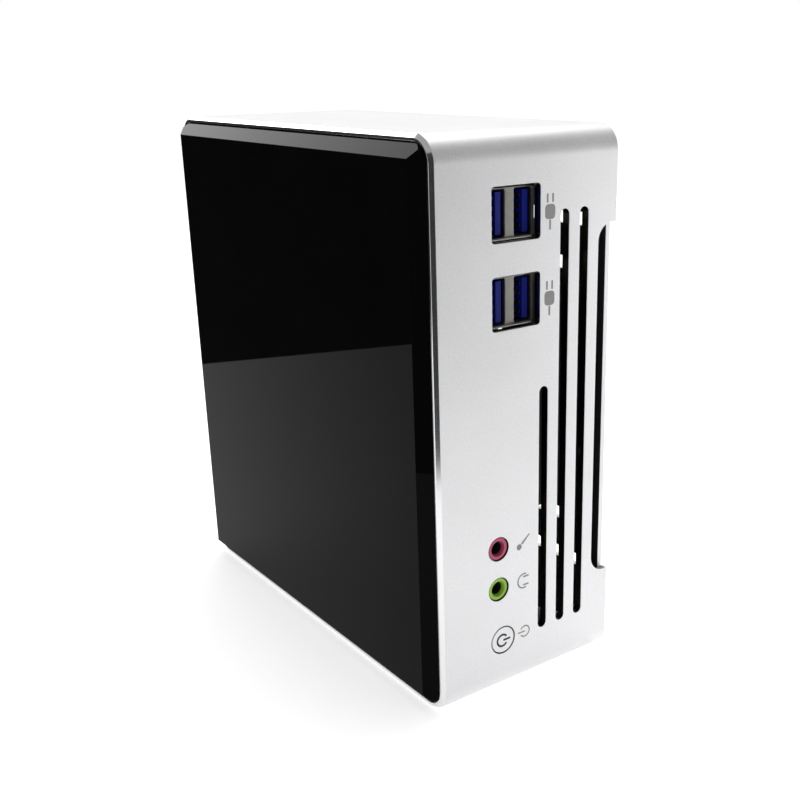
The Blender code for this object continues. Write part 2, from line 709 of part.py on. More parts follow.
def heatsink():
    """A comb of fins that run along X, so the fan's air leaves through both port walls."""
    top, base_top = FAN_FRONT - GAP, COOLER_BASE + 4.0
    fins, pitch, thick = 11, 3.9, 1.2
    outline = [(COOLER_BASE, MID_Z - COOLER_HALF), (base_top, MID_Z - COOLER_HALF)]
    for k in range(fins):
        z = MID_Z + (k - (fins - 1) / 2) * pitch
        low, high = z - thick / 2, z + thick / 2
        outline += [(base_top, low), (top, low), (top, high), (base_top, high)]
    outline += [(base_top, MID_Z + COOLER_HALF), (COOLER_BASE, MID_Z + COOLER_HALF)]
    comb = bar(bmesh.new(), outline, COOLER_X - COOLER_HALF, COOLER_X + COOLER_HALF)
    made = make("heatsink", comb, "raw_aluminium")
    pillars = bmesh.new()
    for x, z in fan_fixings():
        slab(pillars, circle(3.0, (x, z), 12), COOLER_BASE + 0.5, top)
    fuse(made, pillars)
    holes = bmesh.new()
    for x, z in heatsink_fixings():
        slab(holes, circle(1.6, (x, z), 12), COOLER_BASE - 1, base_top + 1)
    for x, z in fan_fixings():
        slab(holes, circle(1.5, (x, z), 12), top - 8.0, top + 1)
    cut(made, holes)
    for number, (x, z) in enumerate(heatsink_fixings(), 1):
        seat = (x, LIP_Y + base_top + GAP, z)
        screw(f"heatsink_screw_{number}", seat, (-90, 0, 0), (2.6, 1.9), (1.2, 9.5))
    return made


def fan_frame():
    """A square frame round the blades, with a motor cup held by four struts on its heatsink side."""
    outline = rounded(FAN_HALF, FAN_HALF, 4.0, (COOLER_X, MID_Z), 3)
    back = FAN_FRONT + FAN_THICK
    made = make("fan_frame", slab(bmesh.new(), outline, FAN_FRONT, back), "black_plastic")
    cut(made, slab(bmesh.new(), circle(FAN_BORE, (COOLER_X, MID_Z), 36), FAN_FRONT - 1, back + 1))
    struts = bmesh.new()
    slab(struts, circle(FAN_HUB, (COOLER_X, MID_Z), 24), FAN_FRONT, FAN_FRONT + 1.8)
    fuse(made, struts)
    for tilt in (25, 115):
        spin = Matrix.Rotation(math.radians(tilt), 2)
        corners = ((-34.2, -1.2), (34.2, -1.2), (34.2, 1.2), (-34.2, 1.2))
        turned_corners = [spin @ Vector(corner) for corner in corners]
        outline = [(COOLER_X + p.x, MID_Z + p.y) for p in turned_corners]
        fuse(made, slab(bmesh.new(), outline, FAN_FRONT + 0.2, FAN_FRONT + 1.5))
    holes = bmesh.new()
    slab(holes, circle(1.9, (COOLER_X, MID_Z), 12), FAN_FRONT - 1, back)
    for sx in (-1, 1):
        for sz in (-1, 1):
            middle = (COOLER_X + sx * FAN_HOLE, MID_Z + sz * FAN_HOLE)
            slab(holes, circle(1.9, middle, 12), FAN_FRONT - 1, back + 1)
    cut(made, holes)
    for number, (x, z) in enumerate(fan_fixings(), 1):
        screw(f"fan_screw_{number}", (x, LIP_Y + back + GAP, z), (-90, 0, 0), (2.5, 1.1), (1.2, 22.0))
    return made


def blade(bm, heading, low, high):
    """One swept fan blade as a thin loft through four sections, its root buried in the hub."""
    tip = FAN_BORE - 1.2
    sections = []
    for share in (0.0, 0.35, 0.7, 1.0):
        radius = FAN_HUB - 1.4 + share * (tip - FAN_HUB + 1.4)
        lean = heading + math.radians(16) * share
        half_chord = 4.6 + 2.4 * share
        pitch = math.radians(48 - 14 * share)
        out = Vector((math.cos(lean), math.sin(lean), 0.0))
        side = Vector((-math.sin(lean), math.cos(lean), 0.0))
        chord = side * math.cos(pitch) + Vector((0, 0, math.sin(pitch)))
        thick = side * -math.sin(pitch) * 0.5 + Vector((0, 0, math.cos(pitch) * 0.5))
        middle = out * radius + Vector((0, 0, (low + high) / 2))
        reach = min(half_chord, (high - low) / 2 / math.sin(pitch) - 0.4)
        corners = (middle - chord * reach - thick, middle + chord * reach - thick,
                   middle + chord * reach + thick, middle - chord * reach + thick)
        sections.append([bm.verts.new(corner) for corner in corners])
    bm.faces.new(sections[0])
    bm.faces.new(sections[-1])
    for here, there in zip(sections, sections[1:]):
        for k in range(4):
            after = (k + 1) % 4
            bm.faces.new((here[k], here[after], there[after], there[k]))


def fan_rotor():
    """Hub, shaft and blades, spinning about its own Z at the cooler's axis."""
    low, high = 2.6, FAN_THICK - 0.8
    profile = ((0.0, 0.5), (1.5, 0.5), (1.5, low), (FAN_HUB, low), (FAN_HUB, high - 0.8),
               (FAN_HUB - 0.8, high), (0.0, high))
    made = make("fan_rotor", turned(profile, 28), "black_plastic",
                (COOLER_X, LIP_Y + FAN_FRONT, MID_Z), (-90, 0, 0))
    blades = bmesh.new()
    for k in range(BLADES):
        blade(blades, 2 * math.pi * k / BLADES, low + 0.3, high - 0.3)
    return fuse(made, blades)


# ---------------------------------------------------------------- plug-in cards and leads


MEMORY_X = -8.0
MEMORY_Z = (9.2, 39.2)
LATCH_PIVOT_Z = 35.0


def memory():
    """A memory module lying flat in its edge socket, with a sprung latch on each side."""
    socket = block(bmesh.new(), (MEMORY_X - 36.5, MEMORY_X + 36.5), (SEAT, 22.1), (36.0, 42.5))
    made = make("memory_socket", socket, "black_plastic")
    cut(made, block(bmesh.new(), (MEMORY_X - 34.1, MEMORY_X + 34.1), (18.9, 20.9), (35.0, 39.6)))
    board = block(bmesh.new(), (MEMORY_X - 33.8, MEMORY_X + 33.8), (19.3, 20.5), MEMORY_Z)
    module = make("memory_module", board, "green_board")
    chips = bmesh.new()
    for k in range(4):
        x = MEMORY_X - 24.6 + k * 16.4
        block(chips, (x - 5.5, x + 5.5), (18.3, 21.5), (14.0, 28.0))
    fuse(module, chips)
    for number, sign in ((1, -1), (2, 1)):
        x = MEMORY_X + sign * 35.0
        arm = block(bmesh.new(), (-0.4, 0.4), (18.2 - 20.0, 21.6 - 20.0), (-22.0, 0.0))
        bmesh.ops.translate(arm, verts=arm.verts, vec=(0, -LIP_Y, 0))
        latch = make(f"memory_latch_{number}", arm, "bright_steel", (x, LIP_Y + 20.0, LATCH_PIVOT_Z))
        ends = block(bmesh.new(), (sign * 0.2, sign * 2.0), (18.2 - 20.0, 21.6 - 20.0), (-22.0, -20.6))
        block(ends, (sign * 0.2, sign * -1.8), (20.8 - 20.0, 21.6 - 20.0), (-20.0, -17.0))
        bmesh.ops.translate(ends, verts=ends.verts, vec=(0, -LIP_Y, 0))
        fuse(latch, ends)


def drive_card():
    """A solid-state drive card on its socket and post, with its screw."""
    card = block(bmesh.new(), (DRIVE_POST[0], 47.0), DRIVE_CARD, (115.0, 137.0))
    board = make("drive_card", card, "green_board")
    chips = bmesh.new()
    for low, high in ((-24.0, -10.0), (-6.0, 8.0), (14.0, 28.0)):
        block(chips, (low, high), (22.0, 23.6), (118.0, 134.0))
    fuse(board, chips)
    cut(board, slab(bmesh.new(), circle(2.0, DRIVE_POST, 16), 20.0, 24.0))
    seat = (DRIVE_POST[0], LIP_Y + DRIVE_CARD[1] + GAP, DRIVE_POST[1])
    screw("drive_screw", seat, (-90, 0, 0), (2.6, 1.0), (0.9, 4.5))


def wireless_card():
    card = block(bmesh.new(), (17.0, 47.0), (17.9, 18.7), (115.0, 137.0))
    board = make("wireless_card", card, "green_board")
    return fuse(board, block(bmesh.new(), (24.0, 42.0), (18.5, 20.6), (118.0, 134.0)))


def coin_cell():
    profile = ((0.0, 0.0), (9.4, 0.0), (10.0, 0.6), (10.0, 3.2), (0.0, 3.2))
    seat = (CELL_PLACE[0], LIP_Y + BOARD_FACE + 1.1, CELL_PLACE[1])
    return make("coin_cell", turned(profile, 28), "bright_steel", seat, (-90, 0, 0))


def smooth_route(points, spacing):
    """A Catmull-Rom curve through the points, read at even steps."""
    path = [Vector(p) for p in points]
    padded = [2 * path[0] - path[1], *path, 2 * path[-1] - path[-2]]
    route = []
    for a, b, c, d in zip(padded, padded[1:], padded[2:], padded[3:]):
        steps = max(2, round((c - b).length / spacing))
        for k in range(steps):
            t = k / steps
            route.append(0.5 * (2 * b + (c - a) * t + (2 * a - 5 * b + 4 * c - d) * t * t
                                + (3 * b - a - 3 * c + d) * t ** 3))
    return [*route, path[-1]]


def lead(name, points, radius, spacing, finish="black_rubber"):
    """A held cable: a round tube on a smooth curve through its points, which are (x, depth, z)."""
    route = smooth_route([(x, LIP_Y + depth, z) for x, depth, z in points], spacing)
    curve = bpy.data.curves.new(name, "CURVE")
    curve.dimensions = "3D"
    curve.bevel_depth = radius * MM
    curve.bevel_resolution = 2
    curve.use_fill_caps = True
    spline = curve.splines.new("POLY")
    spline.points.add(len(route) - 1)
    for point, place in zip(spline.points, route):
        point.co = (*(place * MM), 1.0)
    curve.materials.append(material(finish))
    obj = bpy.data.objects.new(name, curve)
    bpy.context.scene.collection.objects.link(obj)
    return obj


def antennas():
    """Two aerial strips stuck to the tray. Each lead goes round the board's top edge to the wireless card."""
    start = TRAY_FRONT + TRAY_PLATE + GAP
    strip_depth = (start, start + 0.5)
    for number, (x, end_x) in enumerate(((-36.0, 28.0), (22.0, 38.0)), 1):
        strip = block(bmesh.new(), (x - 20, x + 20), strip_depth, (128.0, 138.0))
        make(f"antenna_{number}", strip, "brass")
        top = 150.2
        lead(f"antenna_lead_{number}",
             ((x, 5.8, 134.0), (x, 5.9, 141.0), (x + 1, 7.4, 148.0), (x + 2, 12.0, top),
              (x + 5, 17.5, top), (x + 12, 20.5, 148.5), (end_x - 6, 21.5, 144.0),
              (end_x - 1, 21.4, 140.0), (end_x, 20.0, 138.2)),
             0.6, 3.0)


def fan_lead():
    return lead("fan_lead",
                ((-17.9, 49.0, 54.0), (-20.5, 48.0, 52.0), (-22.5, 42.0, 49.0), (-23.5, 34.0, 47.0),
                 (-24.0, 27.0, 46.4), (-24.0, 22.2, 46.4)), 0.8, 3.0)


def main():
    clear_scene()
    shell()
    glass_panel()
    panel_adhesive()
    panel_tray()
    back_cover()
    cover_screws()
    rubber_feet()
    mainboard()
    board_fixings()
    for number, z in enumerate(USB_HEIGHTS, 1):
        port_pair(f"usb_{number}", z + USB_RISE, USB_FRONT, 1, "blue_plastic")
    port_pair("rear_usb", REAR_USB_HEIGHT, 0.5 - OUTER_X, -1, "black_plastic")
    audio_jack("microphone_jack", JACK_HEIGHTS[0], "pink_plastic")
    audio_jack("headphone_jack", JACK_HEIGHTS[1], "lime_plastic")
    power_button()
    power_switch()
    power_inlet()
    for number, z in enumerate(VIDEO_HEIGHTS, 1):
        video_port(number, z)
    network_jack()
    processor()
    heatsink()
    fan_frame()
    fan_rotor()
    memory()
    drive_card()
    wireless_card()
    coin_cell()
    antennas()
    fan_lead()


main()
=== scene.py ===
# %% [markdown]
# # A small upright computer
# This file finishes a small computer that stands on edge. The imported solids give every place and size. Each
# cell adds one piece or one finish. The lesson is in how few ideas it takes: outlines with round corners,
# turned profiles, one Boolean helper, one bevel helper, and small Geometry Nodes trees for whatever
# repeats.

import math

import bmesh
import bpy
from mathutils import Matrix, Vector


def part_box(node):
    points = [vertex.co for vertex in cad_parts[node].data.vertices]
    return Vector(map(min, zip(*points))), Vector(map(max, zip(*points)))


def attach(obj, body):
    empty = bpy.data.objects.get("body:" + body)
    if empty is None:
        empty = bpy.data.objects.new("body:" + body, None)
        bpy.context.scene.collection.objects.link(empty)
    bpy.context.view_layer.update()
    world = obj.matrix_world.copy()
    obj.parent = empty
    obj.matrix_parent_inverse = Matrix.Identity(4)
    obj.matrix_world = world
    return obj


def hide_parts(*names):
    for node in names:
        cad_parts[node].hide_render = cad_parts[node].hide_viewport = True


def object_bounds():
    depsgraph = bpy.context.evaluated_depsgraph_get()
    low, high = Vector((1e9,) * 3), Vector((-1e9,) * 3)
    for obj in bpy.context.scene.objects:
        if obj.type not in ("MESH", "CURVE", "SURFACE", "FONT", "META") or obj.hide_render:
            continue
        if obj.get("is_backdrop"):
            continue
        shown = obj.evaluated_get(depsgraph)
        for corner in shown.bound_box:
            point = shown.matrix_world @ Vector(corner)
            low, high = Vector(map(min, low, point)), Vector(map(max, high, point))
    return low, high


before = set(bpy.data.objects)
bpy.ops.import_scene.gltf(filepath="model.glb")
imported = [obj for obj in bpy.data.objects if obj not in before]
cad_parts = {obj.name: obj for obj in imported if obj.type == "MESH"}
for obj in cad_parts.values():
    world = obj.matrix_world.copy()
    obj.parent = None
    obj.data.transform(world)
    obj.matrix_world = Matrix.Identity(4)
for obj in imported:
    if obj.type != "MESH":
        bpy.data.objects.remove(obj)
cad_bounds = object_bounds()
scene = bpy.context.scene
MM = 0.001

# %% [markdown]
# ## Sizes come from the solids
# Every length below is in millimetres, because that is how such a case is drawn. A node's box says where
# its piece goes, so the looks can't drift away from the solids. Meshes are built in millimetres and scaled
# once, at the end.

# %% Read the boxes in millimetres


class Box:
    """A node's box: low, high, middle and size, in millimetres."""

    def __init__(self, node):
        self.low, self.high = (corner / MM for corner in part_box(node))
        self.middle = (self.low + self.high) / 2
        self.size = self.high - self.low


case = Box("shell")
glass = Box("glass_panel")
cover = Box("back_cover")
SIDE = case.high.x
LIP = case.low.y
RIM = case.high.y
HEIGHT = case.high.z
MID_Z = HEIGHT / 2
WALL = 2.0
CORNER = 7.0
LIP_CHAMFER = 1.0
LIP_INSET = 1.8
SKIN = 0.02  # how far the shell's faces lie inside the solid's box, so that a print on them stays in it
print(f"case {2 * SIDE:.1f} x {RIM - LIP:.1f} x {HEIGHT:.1f} mm, lip at y = {LIP:.2f}, rim at y = {RIM:.2f}")

# %% [markdown]
# ## The camera
# The object is seen from its port side, a little above it, with the lens close enough for the front to
# taper. The camera is placed by its position and by three directions. The picture isn't centred on the
# lens's axis, as in a cropped picture, so a small shift is needed.

# %% Place the camera
EYE = Vector((281.3, -177.6, 171.0))
AZIMUTH, ELEVATION, ROLL = 53.0, 18.25, -0.79
LENS, SHIFT = 48.87, (-0.0886, 0.0232)


def add_camera():
    data = bpy.data.cameras.new("camera")
    data.lens = LENS
    data.sensor_width = 36.0
    data.shift_x, data.shift_y = SHIFT
    data.clip_start = 0.01
    camera = bpy.data.objects.new("camera", data)
    camera.location = EYE * MM
    camera.rotation_mode = "QUATERNION"
    around = Matrix.Rotation(math.radians(AZIMUTH), 4, "Z")
    down = Matrix.Rotation(math.radians(90 - ELEVATION), 4, "X")
    camera.rotation_quaternion = (around @ down @ Matrix.Rotation(math.radians(ROLL), 4, "Z")).to_quaternion()
    scene.collection.objects.link(camera)
    scene.camera = camera


add_camera()
print("camera at", [round(v) for v in EYE], "mm")

# %% [markdown]
# ## Node trees written as sums
# A shader or a Geometry Nodes tree is easier to read as an expression than as a list of links. A Wire wraps
# an output socket. Adding or multiplying wires adds the Math nodes. Graph.node makes every other node: its
# settings go first, because some of them change which sockets it has.

# %% Wire and Graph


class Wire:
    """An output socket that can be used in sums."""

    def __init__(self, graph, socket):
        self.graph = graph
        self.socket = socket

    def maths(self, operation, first, second=None):
        values = {0: first} if second is None else {0: first, 1: second}
        return self.graph.node("ShaderNodeMath", {"operation": operation}, values)

    def __add__(self, other):
        return self.maths("ADD", self, other)

    __radd__ = __add__

    def __sub__(self, other):
        return self.maths("SUBTRACT", self, other)

    def __rsub__(self, other):
        return self.maths("SUBTRACT", other, self)

    def __mul__(self, other):
        return self.maths("MULTIPLY", self, other)

    __rmul__ = __mul__

    def __truediv__(self, other):
        return self.maths("DIVIDE", self, other)

    def __lt__(self, other):
        return self.maths("LESS_THAN", self, other)

    def __gt__(self, other):
        return self.maths("GREATER_THAN", self, other)

    def __mod__(self, other):
        return self.maths("FLOORED_MODULO", self, other)

    def __abs__(self):
        return self.maths("ABSOLUTE", self)

    def floor(self):
        return self.maths("FLOOR", self)

    def power(self, exponent):
        return self.maths("POWER", self, exponent)


class Graph:
    """A node tree and the one method that adds its nodes."""

    def __init__(self, tree):
        self.tree = tree

    def node(self, kind, settings=None, sockets=None, out=0):
        made = self.tree.nodes.new(kind)
        for name, value in (settings or {}).items():
            if name == "stops":
                set_stops(made.color_ramp, value)
            else:
                setattr(made, name, value)
        for key, value in (sockets or {}).items():
            if isinstance(value, Wire):
                self.tree.links.new(value.socket, made.inputs[key])
            else:
                made.inputs[key].default_value = value
        return Wire(self, made.outputs[out])

    def parts(self, vector):
        """The X, Y and Z of a vector wire, as three wires."""
        split = self.node("ShaderNodeSeparateXYZ", None, {0: vector}).socket.node
        return [Wire(self, socket) for socket in split.outputs]


def set_stops(ramp, stops):
    while len(ramp.elements) < len(stops):
        ramp.elements.new(1.0)
    for element, (position, colour) in zip(ramp.elements, stops):
        element.position = position
        element.color = colour


print("node helpers ready")

# %% [markdown]
# ## A finish is a Principled shader with something going on in it
# Real surfaces are never one flat colour: blasted metal has grain, plastic has a moulded texture, and
# plating has cloudy streaks. Each finish below starts from the same Principled shader. The numbers that
# never vary are set on its sockets, and what varies feeds only its colour, its roughness and a Bump node.

# %% The finish builder
finishes = {}


def colour(value):
    """An RGBA tuple from a grey level or an (r, g, b)."""
    rgb = (value,) * 3 if isinstance(value, (int, float)) else value
    return (*rgb, 1.0)


def finish(name, base, vary, metallic=0.0, ior=1.5, **constants):
    """Makes a material. vary(graph, place) returns (share of the second colour, roughness, bump height)."""
    made = bpy.data.materials.new(name)
    made.use_nodes = True
    graph = Graph(made.node_tree)
    shader = made.node_tree.nodes["Principled BSDF"]
    shader.inputs["Metallic"].default_value = metallic
    shader.inputs["IOR"].default_value = ior
    for socket, value in constants.items():
        shader.inputs[socket.replace("_", " ").title()].default_value = value
    place = graph.node("ShaderNodeTexCoord", out="Object")
    share, roughness, bump = vary(graph, place)
    first, second = base
    colours = {0: share, 6: colour(first), 7: colour(second)}
    mixed = graph.node("ShaderNodeMix", {"data_type": "RGBA"}, colours, 2)
    made.node_tree.links.new(mixed.socket, shader.inputs["Base Color"])
    made.node_tree.links.new(roughness.socket, shader.inputs["Roughness"])
    if bump:
        height, strength, depth = bump
        relief = {"Strength": strength, "Distance": depth * MM, "Height": height}
        raised = graph.node("ShaderNodeBump", None, relief)
        made.node_tree.links.new(raised.socket, shader.inputs["Normal"])
    made.diffuse_color = colour(first)
    finishes[name] = made
    return made


def noise(graph, place, size, detail=2.0, roughness=0.5, stretch=None):
    """Noise whose features are about size millimetres wide. stretch scales the place along X, Y and Z first."""
    if stretch:
        place = graph.node("ShaderNodeMapping", None, {"Vector": place, "Scale": stretch})
    sockets = {"Vector": place, "Scale": 1 / (size * MM), "Detail": detail, "Roughness": roughness}
    return graph.node("ShaderNodeTexNoise", None, sockets)


print("finish builder ready")

# %% [markdown]
# ## Metals
# The case is aluminium that has been blasted with glass beads and anodised. Up close its grain is a fine
# sparkle of light and dark grey, a few tenths of a millimetre wide, so two noises are mixed: a fine one for
# the grain and a broad one for the faint clouds that anodising leaves. The front edge is cut with a diamond
# tool after that, so it is bright and smooth. Plated steel gets streaks, made by stretching the noise along
# one axis.

# %% Metal finishes


def blasted(graph, place):
    grain = noise(graph, place, 0.55, 3.0, 0.75)
    clouds = noise(graph, place, 22.0, 2.0)
    share = grain * 0.75 + clouds * 0.25
    return share, 0.40 + grain * 0.14 + clouds * 0.06, (grain, 0.5, 0.03)


def bright_cut(graph, place):
    lines = noise(graph, place, 0.5, 1.0, 0.5, (1.0, 12.0, 1.0))
    return lines, 0.10 + lines * 0.10, (lines, 0.1, 0.004)


def streaked(graph, place):
    streaks = noise(graph, place, 1.2, 3.0, 0.6, (0.15, 1.0, 1.0))
    clouds = noise(graph, place, 4.0, 2.0)
    return streaks * 0.6 + clouds * 0.4, 0.20 + streaks * 0.16 + clouds * 0.1, (streaks, 0.15, 0.01)


def sawn(graph, place):
    lines = noise(graph, place, 0.6, 2.0, 0.6, (0.05, 1.0, 1.0))
    return lines, 0.28 + lines * 0.22, (lines, 0.3, 0.02)


finish("blasted_aluminium", ((0.62, 0.62, 0.63), (0.93, 0.93, 0.94)), blasted, metallic=0.72)
finish("diamond_cut_edge", ((0.70, 0.70, 0.71), (0.85, 0.85, 0.86)), bright_cut, metallic=1.0)
# Dark metal for the faces inside the wall's openings: painted shade, not the colour of cut aluminium.
finish("painted_shade_cut_face", ((0.16, 0.15, 0.13), (0.26, 0.25, 0.23)), bright_cut, metallic=1.0)
# Plated steel with real streaks, its colour darkened as painted shade for the recess the ports sit in.
finish("tinned_steel", ((0.24, 0.235, 0.21), (0.36, 0.35, 0.32)), streaked, metallic=1.0)
# A lighter copy of the port steel: painted highlight on the lower lip of the near ports' mouths.
finish("bright_lip", ((0.75, 0.72, 0.66), (0.90, 0.88, 0.82)), streaked, metallic=0.9)
finish("nickel_plate", ((0.50, 0.50, 0.50), (0.68, 0.68, 0.67)), streaked, metallic=1.0)
finish("gold_contact", ((0.45, 0.28, 0.09), (0.70, 0.48, 0.18)), streaked, metallic=1.0)
finish("machined_brass", ((0.60, 0.42, 0.16), (0.78, 0.58, 0.26)), streaked, metallic=1.0)
# Near-black fins for the heatsink: painted shade for the inside of the case, seen through the slots.
finish("black_anodised_fins", ((0.02, 0.02, 0.021), (0.05, 0.05, 0.052)), sawn, metallic=0.6)
print("metals:", ", ".join(finishes))

# %% [markdown]
# ## Glass, plastics, rubber and paint
# The pane is black behind clear glass, so from outside it is a black body with a hard polished skin. A
# faint smudge in its roughness keeps the reflection from looking computed. Moulded plastics carry a fine
# spark-eroded texture as a bump. Prints are flat grey ink with a slightly uneven edge of tone.

# %% Glass and plastic finishes


def polished(graph, place):
    smudge = noise(graph, place, 30.0, 3.0, 0.6)
    return smudge, 0.012 + smudge.power(3.0) * 0.05, None


def moulded(graph, place):
    texture = noise(graph, place, 0.25, 2.0, 0.6)
    clouds = noise(graph, place, 9.0, 2.0)
    return clouds, 0.42 + texture * 0.16, (texture, 0.35, 0.03)


def glossy_moulded(graph, place):
    clouds = noise(graph, place, 2.5, 2.0)
    return clouds, 0.22 + clouds * 0.16, (clouds, 0.05, 0.02)


def grippy(graph, place):
    texture = noise(graph, place, 0.5, 4.0, 0.7)
    return texture, 0.74 + texture * 0.18, (texture, 0.5, 0.05)


def inked(graph, place):
    texture = noise(graph, place, 0.6, 3.0, 0.6)
    return texture, 0.5 + texture * 0.2, (texture, 0.1, 0.005)


def coppered(graph, place):
    """Solder mask over copper: a network of straight tracks shows as a lighter green, with small round vias."""
    x, y, z = graph.parts(place)
    flat = graph.node("ShaderNodeCombineXYZ", None, {0: x, 1: z, 2: 0.0})
    tracks = graph.node(
        "ShaderNodeTexVoronoi", {"feature": "DISTANCE_TO_EDGE", "distance": "EUCLIDEAN"},
        {"Vector": flat, "Scale": 1 / (5.0 * MM), "Randomness": 0.35}, "Distance",
    )
    vias = graph.node("ShaderNodeTexVoronoi", None, {"Vector": flat, "Scale": 1 / (3.1 * MM)}, "Distance")
    track = tracks < 0.06
    via = vias < 0.13
    return track * 0.55 + via * 0.45, 0.32 + track * 0.12, (track * 0.5 + via * 0.5, 0.4, 0.05)


finish("black_glass", ((0.0015, 0.0015, 0.0018), (0.003, 0.003, 0.0035)), polished, ior=1.10)
finish("black_plastic", ((0.012, 0.012, 0.013), (0.02, 0.02, 0.021)), moulded)
finish("blue_plastic", ((0.001, 0.005, 0.13), (0.003, 0.010, 0.20)), moulded, ior=1.25)
finish("pink_plastic", ((0.34, 0.035, 0.09), (0.46, 0.07, 0.15)), glossy_moulded)
finish("lime_plastic", ((0.20, 0.40, 0.025), (0.30, 0.52, 0.05)), glossy_moulded)
finish("white_plastic", ((0.62, 0.62, 0.58), (0.72, 0.72, 0.68)), glossy_moulded)
finish("amber_window", ((0.55, 0.25, 0.03), (0.70, 0.36, 0.05)), glossy_moulded)
finish("black_rubber", ((0.010, 0.010, 0.010), (0.022, 0.022, 0.022)), grippy)
finish("grey_ink", ((0.20, 0.195, 0.185), (0.27, 0.265, 0.255)), inked)
finish("dark_ink", ((0.010, 0.011, 0.013), (0.02, 0.021, 0.023)), inked)
finish("solder_mask", ((0.006, 0.035, 0.020), (0.05, 0.17, 0.08)), coppered)
finish("chip_epoxy", ((0.012, 0.012, 0.013), (0.03, 0.03, 0.032)), moulded)
finish("silicon_die", ((0.10, 0.11, 0.13), (0.16, 0.17, 0.20)), polished, metallic=0.6)
print("finishes:", len(finishes))

# %% [markdown]
# ## Outlines and prisms
# Nearly every piece here is either an outline pushed along one axis or a profile turned round one. Both are
# made with bmesh: a face is filled from a loop of points and extruded, or an open profile is spun. Round
# corners get eight steps each, which is enough at this size for the smooth shading to hide the joins.

# %% Mesh builders


def rounded(width, height, radius, centre=(0.0, 0.0), steps=8):
    """A rectangle with round corners, as points going anticlockwise."""
    points = []
    for quarter, (u, v) in enumerate(((1, -1), (1, 1), (-1, 1), (-1, -1))):
        for step in range(steps + 1):
            angle = math.radians(90 * (quarter - 1 + step / steps))
            points.append((
                centre[0] + u * (width / 2 - radius) + radius * math.cos(angle),
                centre[1] + v * (height / 2 - radius) + radius * math.sin(angle),
            ))
    return points


def circle(radius, centre=(0.0, 0.0), sides=48):
    turns = [2 * math.pi * k / sides for k in range(sides)]
    return [(centre[0] + radius * math.cos(a), centre[1] + radius * math.sin(a)) for a in turns]


def prism(bm, points, along):
    """Fills the loop of points and extrudes it along a vector."""
    face = bm.faces.new([bm.verts.new(point) for point in points])
    grown = bmesh.ops.extrude_face_region(bm, geom=[face])["geom"]
    bmesh.ops.translate(bm, verts=[v for v in grown if isinstance(v, bmesh.types.BMVert)], vec=along)
    return bm


def along_x(outline, low, high, bm=None):
    """A solid along X from an outline in (y, z)."""
    return prism(bm or bmesh.new(), [(low, y, z) for y, z in outline], (high - low, 0, 0))


def along_y(outline, low, high, bm=None):
    """A solid along Y from an outline in (x, z)."""
    return prism(bm or bmesh.new(), [(x, low, z) for x, z in outline], (0, high - low, 0))


def block(x, y, z, bm=None):
    """A box between pairs of limits."""
    bm = bm or bmesh.new()
    middle = Vector([(low + high) / 2 for low, high in (x, y, z)])
    size = [abs(high - low) for low, high in (x, y, z)]
    bmesh.ops.create_cube(bm, size=1.0, matrix=Matrix.Translation(middle) @ Matrix.Diagonal((*size, 1.0)))
    return bm


def turned(profile, at, axis, sides=48):
    """Spins (radius, height) points round an axis that leaves the place `at`."""
    bm = bmesh.new()
    points = [bm.verts.new((radius, 0.0, height)) for radius, height in profile]
    edges = [bm.edges.new(pair) for pair in zip(points, points[1:])]
    bmesh.ops.spin(bm, geom=points + edges, axis=(0, 0, 1), cent=(0, 0, 0), angle=2 * math.pi, steps=sides,
                   use_merge=True)
    turn = Vector((0, 0, 1)).rotation_difference(Vector(axis)).to_matrix().to_4x4()
    bmesh.ops.transform(bm, matrix=Matrix.Translation(at) @ turn, verts=bm.verts)
    return bm


def arc(centre, radius, start, end, steps=6):
    """Points on part of a circle, for filleting a turned profile. Angles are in degrees."""
    turns = [math.radians(start + (end - start) * k / steps) for k in range(steps + 1)]
    return [(centre[0] + radius * math.cos(a), centre[1] + radius * math.sin(a)) for a in turns]


print("rounded corner test:", len(rounded(10, 5, 1)), "points")

# %% [markdown]
# ## One way to finish every piece
# A raw Boolean result has razor edges, which no real piece has and which catch no light. So every piece
# goes through the same steps: cutters are applied, a narrow Bevel rounds the edges, faces that nearly line
# up are smoothed, and Weighted Normal keeps the flat faces flat. The result is made a plain mesh in metres,
# the piece is told which body it rides on, and the solids it stands for are hidden.

# %% Apply modifiers and make the piece


def settled(obj):
    """The object's mesh with its modifiers applied. The object is removed."""
    graph = bpy.context.evaluated_depsgraph_get()
    evaluated = obj.evaluated_get(graph)
    mesh = bpy.data.meshes.new_from_object(evaluated, preserve_all_data_layers=True, depsgraph=graph)
    bpy.data.objects.remove(obj)
    return mesh


def working(name, bm):
    """An object in millimetres, with its faces pointing outwards."""
    if isinstance(bm, bmesh.types.BMesh):
        bmesh.ops.remove_doubles(bm, verts=bm.verts, dist=0.0005)
        bmesh.ops.recalc_face_normals(bm, faces=bm.faces)
        mesh = bpy.data.meshes.new(name)
        bm.to_mesh(mesh)
        bm.free()
    else:
        mesh = bm
    obj = bpy.data.objects.new(name, mesh)
    scene.collection.objects.link(obj)
    return obj


def carved(name, bm, steps):
    """Applies Boolean steps, each (operation, cutter)."""
    obj = working(name, bm)
    tools = []
    for operation, cutter in steps:
        tool = working(f"{name}_tool", cutter)
        modifier = obj.modifiers.new(operation, "BOOLEAN")
        modifier.operation = operation
        modifier.solver = "EXACT"
        modifier.object = tool
        tools.append(tool)
    mesh = settled(obj)
    for tool in tools:
        bpy.data.objects.remove(tool)
    return mesh


